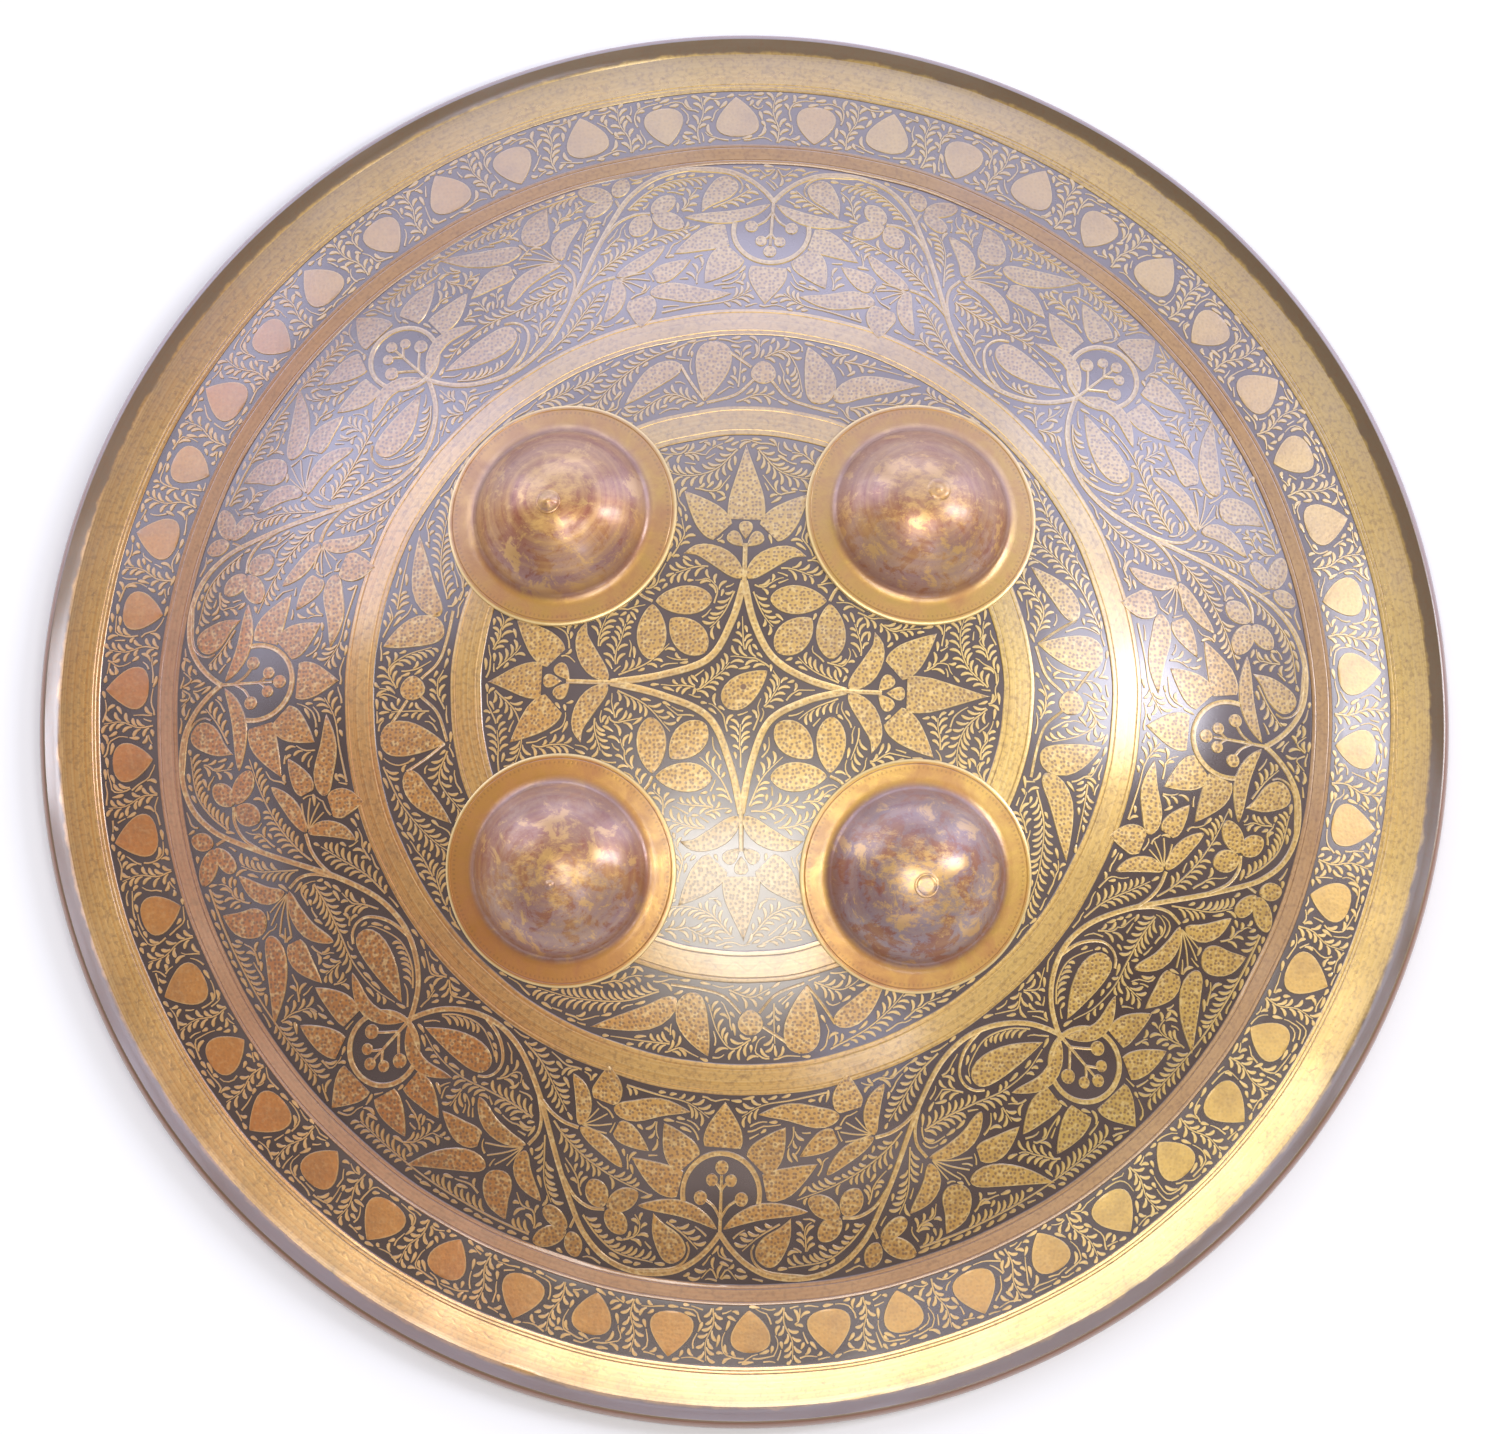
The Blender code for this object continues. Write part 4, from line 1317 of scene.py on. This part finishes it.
def lacquered_bowl(finish, face):
    """Beaten brass with dark lacquer melted into the cut ground.

    The lacquer is a dark skin with a soft shine. On slopes that face up the
    picture it has a painted haze, a painted reflection of daylight, and below
    the middle a pale patch that is partly rubbed wear and partly a painted
    highlight. Where it is missing the rings and the plain band show brass,
    finely scratched round the shield. The outer ring and the rolled rim have
    gone brown, and so has the inside of the rim. The rise to the crest inside
    the rim is dark brown, partly brown oxide and partly painted shade.
    """
    made, tree, shader = new_material("aged brass and lacquer", Coat_Weight=1.0,
                                      Coat_Roughness=0.24, Coat_IOR=1.75)
    place = add(tree, "ShaderNodeTexCoord", {}, out=3)
    tone = brass_tone(tree, finish, place)
    fine = add(tree, "ShaderNodeTexNoise", {"Vector": place, "Scale": 160.0, "Detail": 5.0})
    stain = add(tree, "ShaderNodeMapRange", {0: fine, 1: 0.55, 2: 0.75, 4: 0.4})
    flat = add(tree, "ShaderNodeVectorMath", {0: place, 1: (1.0, 1.0, 0.0)},
               operation="MULTIPLY")
    radius = add(tree, "ShaderNodeVectorMath", {0: flat}, out=1, operation="LENGTH")
    run = add(tree, "ShaderNodeCombineXYZ", {0: radius})
    scratch = add(tree, "ShaderNodeTexNoise", {"Vector": run, "Scale": 1500.0, "Detail": 3.0})
    scrape = add(tree, "ShaderNodeMapRange", {0: scratch, 1: 0.42, 2: 0.7, 4: 0.4})
    dull = add(tree, "ShaderNodeMath", {0: radius, 1: (face.border - 2.4) * MM},
               operation="SUBTRACT")
    dull = add(tree, "ShaderNodeMath", {0: dull}, operation="ABSOLUTE")
    dull = add(tree, "ShaderNodeMapRange", {0: dull, 1: 6.0 * MM, 2: 5.0 * MM, 4: 0.68})
    clean = add(tree, "ShaderNodeMapRange", {0: radius, 1: face.band * MM,
                                            2: (face.band + 1.0) * MM, 4: 0.3})
    # Darker towards the rim: the band darkens outwards and the rise to the crest is painted dark
    # brown, partly brown oxide and partly painted shade
    edge = add(tree, "ShaderNodeMath", {0: fine, 1: 3.0 * MM, 2: radius},
               operation="MULTIPLY_ADD")
    outer_soil_and_shade = add(tree, "ShaderNodeMapRange", {0: edge, 1: (face.lip - 5.4) * MM,
                                              2: (face.lip + 1.6) * MM, 4: 0.35})
    edge = add(tree, "ShaderNodeMapRange", {0: edge, 1: (face.lip + 1.0) * MM,
                                            2: (face.lip + 2.2) * MM, 4: 0.9})
    edge = add(tree, "ShaderNodeMath", {0: edge, 1: outer_soil_and_shade}, operation="MAXIMUM")
    scroll = scroll_lines(tree, place, SCROLLS)
    dust = add(tree, "ShaderNodeTexNoise", {"Vector": place, "Scale": 900.0, "Detail": 3.0})
    dust = add(tree, "ShaderNodeMapRange", {0: dust, 1: 0.48, 2: 0.68, 4: 0.45})
    line = add(tree, "ShaderNodeMath", {0: scroll, 1: 0.12, 2: dust}, operation="MULTIPLY_ADD")
    mark = add(tree, "ShaderNodeAttribute", {}, out=2, attribute_name="lacquer")
    cut = add(tree, "ShaderNodeMapRange", {0: mark, 1: 0.3, 2: 0.7})
    blotch = add(tree, "ShaderNodeTexNoise", {"Vector": place, "Scale": 30.0, "Detail": 4.0})
    dark = add(tree, "ShaderNodeMapRange", {0: blotch, 1: 0.35, 2: 0.65})
    dark = add(tree, "ShaderNodeMix", {0: dark, 6: finish.lacquer[:], 7: finish.slate[:]},
               out=2, data_type="RGBA")
    back = add(tree, "ShaderNodeAttribute", {}, out=2, attribute_name="back")
    rim = add(tree, "ShaderNodeAttribute", {}, out=2, attribute_name="rim")
    # The pale patch is partly rubbed wear and partly a painted highlight; the haze is a painted
    # reflection of daylight
    worn = pale_wear_and_highlight(tree, place)
    painted_haze = painted_haze_share(tree, place)
    coats = ((stain, finish.pit[:]), (scrape, finish.bright[:]), (dull, finish.rim[:]),
             (clean, finish.brass[:]), (edge, finish.tarnish_and_shade[:]), (line, finish.pit[:]),
             (back, finish.back[:]), (rim, finish.rim[:]), (cut, dark), (worn, finish.worn[:]),
             (painted_haze, finish.painted_haze[:]))
    for share, coat in coats:
        tone = add(tree, "ShaderNodeMix", {0: share, 6: tone, 7: coat},
                   out=2, data_type="RGBA")
    metal = add(tree, "ShaderNodeMapRange", {0: cut, 3: 0.45, 4: 0.15})
    rough = add(tree, "ShaderNodeMapRange", {0: fine, 3: 0.2, 4: 0.35})
    rough = add(tree, "ShaderNodeMath", {0: dull, 1: 0.4, 2: rough}, operation="MULTIPLY_ADD")
    rough = add(tree, "ShaderNodeMath", {0: edge, 1: 0.25, 2: rough}, operation="MULTIPLY_ADD")
    handled = add(tree, "ShaderNodeMapRange", {0: radius, 1: (face.middle_outer + 1.0) * MM,
                                               2: (face.middle_outer - 1.0) * MM, 4: 0.1})
    rough = add(tree, "ShaderNodeMath", {0: rough, 1: handled}, operation="ADD")
    height = add(tree, "ShaderNodeMath", {0: scroll, 1: -1.0, 2: scratch},
                 operation="MULTIPLY_ADD")
    bump = add(tree, "ShaderNodeBump", {"Strength": 0.09, "Distance": 0.0002, "Height": height})
    wire(tree, shader, {"Base Color": tone, "Metallic": metal, "Roughness": rough,
                        "Normal": bump})
    return made


def boss_patina(finish, boss, name):
    """Beaten brass under a red-brown patina, rubbed through in places.

    Patina is a thin oxide, darker and redder than the brass. The lower side
    of each cap is painted lighter as painted light, slopes that face up the
    picture get a painted haze of reflected daylight, and the foot of each cap
    is painted darker as shade. Polishing ran round the cap. Rubbing leaves
    small golden flecks near the top, and the flange is rubbed clean. Dots
    1.3 mm apart are punched round the flange.
    """
    made, tree, shader = new_material(name, Metallic=0.5, Coat_Weight=0.7,
                                      Coat_Roughness=0.22, Coat_IOR=1.6)
    place = add(tree, "ShaderNodeTexCoord", {}, out=3)
    tone = finish.patina[:]
    local = add(tree, "ShaderNodeAttribute", {}, out=1, attribute_name="local")
    warmth = add(tree, "ShaderNodeAttribute", {}, out=2, attribute_name="warmth")
    flat = add(tree, "ShaderNodeVectorMath", {0: local, 1: (1.0, 1.0, 0.0)},
               operation="MULTIPLY")
    radius = add(tree, "ShaderNodeVectorMath", {0: flat}, out=1, operation="LENGTH")
    axes = add(tree, "ShaderNodeSeparateXYZ", {0: local}).node
    angle = add(tree, "ShaderNodeMath", {0: axes.outputs[1], 1: axes.outputs[0]},
                operation="ARCTAN2")
    cloud = add(tree, "ShaderNodeTexNoise", {"Vector": place, "Scale": 60.0, "Detail": 6.0,
                                             "Roughness": 0.6})
    shade = add(tree, "ShaderNodeMath", {0: cloud, 1: warmth}, operation="SUBTRACT")
    plum = add(tree, "ShaderNodeMapRange", {0: shade, 1: -0.2, 2: 0.25})
    # Painted light: the lower side of each cap is painted lighter with the haze colour
    normal = add(tree, "ShaderNodeNewGeometry", {}, out=1)
    low = add(tree, "ShaderNodeVectorMath", {0: normal, 1: (0.1, -0.99, 0.0)},
              out=1, operation="DOT_PRODUCT")
    low = add(tree, "ShaderNodeMath", {0: cloud, 1: 0.9, 2: low}, operation="MULTIPLY_ADD")
    low = add(tree, "ShaderNodeMapRange", {0: low, 1: 0.4, 2: 1.0, 4: 0.3})
    patch = add(tree, "ShaderNodeTexNoise", {"Vector": place, "Scale": 120.0, "Detail": 8.0,
                                             "Roughness": 0.7, "Distortion": 0.4})
    dark = add(tree, "ShaderNodeMapRange", {0: patch, 1: 0.51, 2: 0.58, 4: 0.8})
    gold = add(tree, "ShaderNodeMapRange", {0: patch, 1: 0.46, 2: 0.4, 4: 0.7})
    round_run = add(tree, "ShaderNodeCombineXYZ", {0: radius, 1: warmth})
    round_run = add(tree, "ShaderNodeTexNoise", {"Vector": round_run, "Scale": 500.0,
                                                 "Detail": 4.0})
    worn = add(tree, "ShaderNodeMath", {0: cloud, 1: round_run}, operation="ADD")
    worn = add(tree, "ShaderNodeMapRange", {0: worn, 1: 0.85, 2: 1.25})
    worn = add(tree, "ShaderNodeMath", {0: worn, 1: warmth}, operation="MULTIPLY")
    grain = add(tree, "ShaderNodeMapping", {"Vector": place, "Scale": (1.0, 1.7, 1.0),
                                            "Rotation": (0.0, 0.0, 0.9)})
    flecks = add(tree, "ShaderNodeTexNoise", {"Vector": grain, "Scale": 300.0, "Detail": 7.0,
                                              "Roughness": 0.75})
    near = add(tree, "ShaderNodeMapRange", {0: radius, 1: 20.0 * MM, 2: 5.0 * MM, 4: 0.16})
    chance = add(tree, "ShaderNodeMath", {0: cloud, 1: 0.5, 2: near}, operation="MULTIPLY_ADD")
    chance = add(tree, "ShaderNodeMath", {0: flecks, 1: chance}, operation="ADD")
    rubbed = add(tree, "ShaderNodeMapRange", {0: chance, 1: 0.86, 2: 1.02, 4: 0.8})
    cap, reach = boss.cap_radius, boss.radius
    # Painted shade: a darker ring at the foot of each cap
    foot = add(tree, "ShaderNodeMapRange", {0: radius, 1: cap - 2.6 * MM, 2: cap - 0.2 * MM,
                                            4: 0.6})
    brass = brass_tone(tree, finish, place)
    stain = add(tree, "ShaderNodeMapRange", {0: patch, 1: 0.35, 2: 0.7, 3: 0.1, 4: 0.75})
    brass = add(tree, "ShaderNodeMix", {0: stain, 6: brass, 7: finish.patina[:]},
                out=2, data_type="RGBA")
    flange = add(tree, "ShaderNodeMapRange", {0: radius, 1: cap, 2: cap + 1.4 * MM})
    dots = 146.0
    beat = add(tree, "ShaderNodeMath", {0: angle, 1: dots}, operation="MULTIPLY")
    beat = add(tree, "ShaderNodeMath", {0: beat}, operation="SINE")
    beat = add(tree, "ShaderNodeMapRange", {0: beat, 1: 0.0, 2: 0.7})
    away = add(tree, "ShaderNodeMath", {0: radius, 1: reach - 2.4 * MM},
               operation="SUBTRACT")
    away = add(tree, "ShaderNodeMath", {0: away}, operation="ABSOLUTE")
    row = add(tree, "ShaderNodeMapRange", {0: away, 1: 0.5 * MM, 2: 0.2 * MM, 4: 0.35})
    punch = add(tree, "ShaderNodeMath", {0: row, 1: beat}, operation="MULTIPLY")
    edge = add(tree, "ShaderNodeMapRange", {0: radius, 1: reach - 0.9 * MM,
                                            2: reach - 0.4 * MM, 4: 0.7})
    # Painted haze, a painted reflection of daylight, on cap slopes that face up the picture
    painted_haze = painted_haze_share(tree, place)
    painted_haze = add(tree, "ShaderNodeMath", {0: painted_haze, 1: 0.55}, operation="MULTIPLY")
    coats = ((plum, finish.plum[:]), (low, finish.painted_haze[:]), (dark, finish.rust[:]),
             (gold, finish.rubbed[:]), (worn, finish.rubbed[:]), (rubbed, finish.rubbed[:]),
             (foot, finish.rim[:]), (flange, brass), (punch, finish.pit[:]),
             (edge, finish.bright[:]), (painted_haze, finish.painted_haze[:]))
    for share, coat in coats:
        tone = add(tree, "ShaderNodeMix", {0: share, 6: tone, 7: coat},
                   out=2, data_type="RGBA")
    height = add(tree, "ShaderNodeMath", {0: round_run, 1: 0.5, 2: flecks},
                 operation="MULTIPLY_ADD")
    height = add(tree, "ShaderNodeMath", {0: patch, 1: -0.8, 2: height},
                 operation="MULTIPLY_ADD")
    height = add(tree, "ShaderNodeMath", {0: height, 1: punch}, operation="SUBTRACT")
    bump = add(tree, "ShaderNodeBump", {"Strength": 0.2, "Distance": 0.0003, "Height": height})
    rough = add(tree, "ShaderNodeMapRange", {0: patch, 1: 0.4, 2: 0.6, 3: 0.3, 4: 0.5})
    wire(tree, shader, {"Base Color": tone, "Roughness": rough, "Normal": bump})
    return made


def turned_piece(name, seat, local, warmth, material):
    """A turned piece bent over the dome at its seat, marked with its own plan."""
    rings, facets = local.shape[:2]
    marks = {"local": local.reshape(-1, 3) * MM, "warmth": np.full(rings * facets, warmth)}
    piece = mesh_object("dhal_" + name, seat.put(local).reshape(-1, 3),
                        tube_faces(1, rings, facets), marks)
    finished(piece, material, [name])


def make_rivet(face, boss, name, angle, kind, offset, warmth, material):
    """A rivet: its worn head on the cap and its clenched tail on the back."""
    seat = BossSeat(face, boss, angle)
    middle = seat.shifted(offset)
    cap, rise = boss.cap_radius / MM, boss.cap_height / MM
    sphere = (cap ** 2 + rise ** 2) / (2.0 * rise)
    away = float(np.hypot(*middle))
    top = (boss.gap + boss.flange) / MM + rise - sphere + math.sqrt(sphere ** 2 - away ** 2)
    head = head_outline(kind, boss.head_radius / MM)
    shank, tail = boss.shank_radius / MM, boss.tail_radius / MM
    outline = [(radius, top + height) for radius, height in head]
    outline += [(shank, top - 1.2), (shank, -face.sheet), (tail, -face.sheet - 0.1),
                (tail, -face.sheet - 0.5), (0.8 * tail, -face.sheet - 1.2),
                (0.4 * tail, -face.sheet - 1.6), (0.05, -face.sheet - 1.7)]
    turned_piece("rivet_" + name, seat, turned(outline, 40, middle), warmth,
                 material)


def boss_seats(face, boss):
    """Plan places of the four bosses."""
    return [BossSeat(face, boss, values[0]).plan for values in BOSSES.values()]


class DHAL_OT_bowl(bpy.types.Operator):
    """Build the bowl with its rings, plain band, rolled rim and hollow back"""

    bl_idname = "dhal.bowl"
    bl_label = "Bowl"

    def execute(self, context):
        scene = context.scene
        face = Face(scene.dhal_face)
        piece = make_bowl(face, scene.dhal_face)
        finished(piece, lacquered_bowl(scene.dhal_finish, face), ["bowl"])
        return {"FINISHED"}


class DHAL_OT_engraving(bpy.types.Operator):
    """Engrave the arabesque, the leaf border, the narrow band and the centre"""

    bl_idname = "dhal.engraving"
    bl_label = "Engraving"

    def execute(self, context):
        scene = context.scene
        face = Face(scene.dhal_face)
        sizes = scene.dhal_engraving
        seats = boss_seats(face, scene.dhal_boss)
        matted = engraved_brass(scene.dhal_finish, "matted engraved brass", 0.75)
        plain = engraved_brass(scene.dhal_finish, "scraped engraved brass", 0.15)
        zones = (("arabesque", engrave_arabesque(face, sizes), matted),
                 ("border", engrave_border(face, sizes), plain),
                 ("band", engrave_band(face, sizes, seats), matted),
                 ("centre", engrave_centre(face, sizes, seats), matted))
        for name, draw, finish in zones:
            draw.build(name, finish, plain)
        return {"FINISHED"}


class DHAL_OT_bosses(bpy.types.Operator):
    """Turn the four bosses and set them on the dome"""

    bl_idname = "dhal.bosses"
    bl_label = "Bosses"

    def execute(self, context):
        scene = context.scene
        face, boss = Face(scene.dhal_face), scene.dhal_boss
        material = boss_patina(scene.dhal_finish, boss, "patinated brass")
        local = turned(boss_outline(boss), boss.facets)
        for name, (angle, _, _, warmth) in BOSSES.items():
            seat = BossSeat(face, boss, angle)
            turned_piece("boss_" + name, seat, local, warmth, material)
        return {"FINISHED"}


class DHAL_OT_rivets(bpy.types.Operator):
    """Set the four rivets, each with its own worn head"""

    bl_idname = "dhal.rivets"
    bl_label = "Rivets"

    def execute(self, context):
        scene = context.scene
        face, boss = Face(scene.dhal_face), scene.dhal_boss
        material = boss_patina(scene.dhal_finish, boss, "patinated rivet brass")
        for name, (angle, kind, offset, warmth) in BOSSES.items():
            make_rivet(face, boss, name, angle, kind, offset, warmth, material)
        return {"FINISHED"}


def panel_light(name, aim, distance, size, power, tint):
    """A soft rectangular light in a direction from the shield, facing it."""
    light = bpy.data.lights.new(name, "AREA")
    light.shape = "RECTANGLE"
    light.size, light.size_y = size
    light.energy = power
    light.color = linear(tint)[:3]
    lamp = bpy.data.objects.new(name, light)
    place = np.array(aim) / np.linalg.norm(aim) * distance
    lamp.location = place
    lamp.rotation_euler = looking(-place)
    bpy.context.collection.objects.link(lamp)


def looking(aim):
    """Rotation of a camera or a light that looks along a direction, +Y upright."""
    back = -np.array(aim, float) / np.linalg.norm(aim)
    right = np.cross([0.0, 1.0, 0.0], back)
    right /= np.linalg.norm(right)
    top = np.cross(back, right)
    return Matrix(np.stack([right, top, back], axis=-1).tolist()).to_euler()


def make_camera(studio, level):
    """The camera over the lying shield, at the photo's angle and scale."""
    tilt, turn = studio.camera_tilt, studio.camera_turn
    aim = np.array([math.sin(tilt) * math.sin(turn), -math.sin(tilt) * math.cos(turn),
                    math.cos(tilt)])
    right = np.cross([0.0, 1.0, 0.0], aim)
    right /= np.linalg.norm(right)
    top = np.cross(aim, right)
    place = aim * studio.camera_distance + np.array([0.0, 0.0, level])
    target = right * studio.aim_right + top * studio.aim_up + np.array([0.0, 0.0, level])
    data = bpy.data.cameras.new("camera")
    data.sensor_width = 36.0
    focal_pixels = studio.camera_distance / MM * studio.pixels_per_mm
    data.lens = focal_pixels * data.sensor_width / studio.photo_width
    data.clip_start, data.clip_end = 0.05, 30.0
    camera = bpy.data.objects.new("camera", data)
    camera.location = place
    camera.rotation_euler = looking(target - place)
    bpy.context.collection.objects.link(camera)
    bpy.context.scene.camera = camera


class DHAL_OT_studio(bpy.types.Operator):
    """Lay the floor and set the lights, the world and the camera"""

    bl_idname = "dhal.studio"
    bl_label = "Studio"

    def execute(self, context):
        studio = context.scene.dhal_studio
        size = 6.0
        corners = np.array([(-size, -size, 0), (size, -size, 0), (size, size, 0),
                            (-size, size, 0)], float)
        floor = mesh_object("floor", corners, [np.array([[0, 1, 2, 3]])], smooth=None)
        made, _, _ = new_material("studio floor", Base_Color=studio.floor[:], Roughness=0.9)
        floor.data.materials.append(made)
        for name, settings in PANELS.items():
            panel_light(name, *settings)
        world = bpy.data.worlds.new("studio")
        world.use_nodes = True
        background = world.node_tree.nodes["Background"]
        background.inputs["Color"].default_value = studio.room[:]
        background.inputs["Strength"].default_value = studio.room_strength
        context.scene.world = world
        context.scene.view_settings.view_transform = "Standard"
        make_camera(studio, context.scene.dhal_face.roll_height / 2.0)
        return {"FINISHED"}


class DHAL_PT_panel(bpy.types.Panel):
    """The sizes, colours and steps of the dhal"""

    bl_idname = "DHAL_PT_panel"
    bl_label = "Dhal"
    bl_space_type = "VIEW_3D"
    bl_region_type = "UI"
    bl_category = "Dhal"

    def draw(self, context):
        for group in GROUPS:
            box = self.layout.box()
            box.label(text=group[5:].capitalize())
            values = getattr(context.scene, group)
            for key in values.bl_rna.properties.keys():
                if key not in ("rna_type", "name"):
                    box.prop(values, key)
        for step in STEPS:
            self.layout.operator(step.bl_idname)


GROUPS = {"dhal_face": DhalFace, "dhal_engraving": DhalEngraving, "dhal_boss": DhalBoss,
          "dhal_finish": DhalFinish, "dhal_studio": DhalStudio}
STEPS = (DHAL_OT_bowl, DHAL_OT_engraving, DHAL_OT_bosses, DHAL_OT_rivets, DHAL_OT_studio)


def register():
    """Register the classes and hang their sizes on the scene."""
    for group in GROUPS.values():
        bpy.utils.register_class(group)
    for step in STEPS + (DHAL_PT_panel,):
        bpy.utils.register_class(step)
    for key, group in GROUPS.items():
        setattr(bpy.types.Scene, key, PointerProperty(type=group))


def unregister():
    """Undo what register did."""
    for key in GROUPS:
        delattr(bpy.types.Scene, key)
    for step in STEPS + (DHAL_PT_panel,):
        bpy.utils.unregister_class(step)
    for group in GROUPS.values():
        bpy.utils.unregister_class(group)


def main():
    """Build every piece."""
    register()
    bpy.ops.dhal.bowl()
    bpy.ops.dhal.engraving()
    bpy.ops.dhal.bosses()
    bpy.ops.dhal.rivets()
    bpy.ops.dhal.studio()


if __name__ == "__main__":
    main()
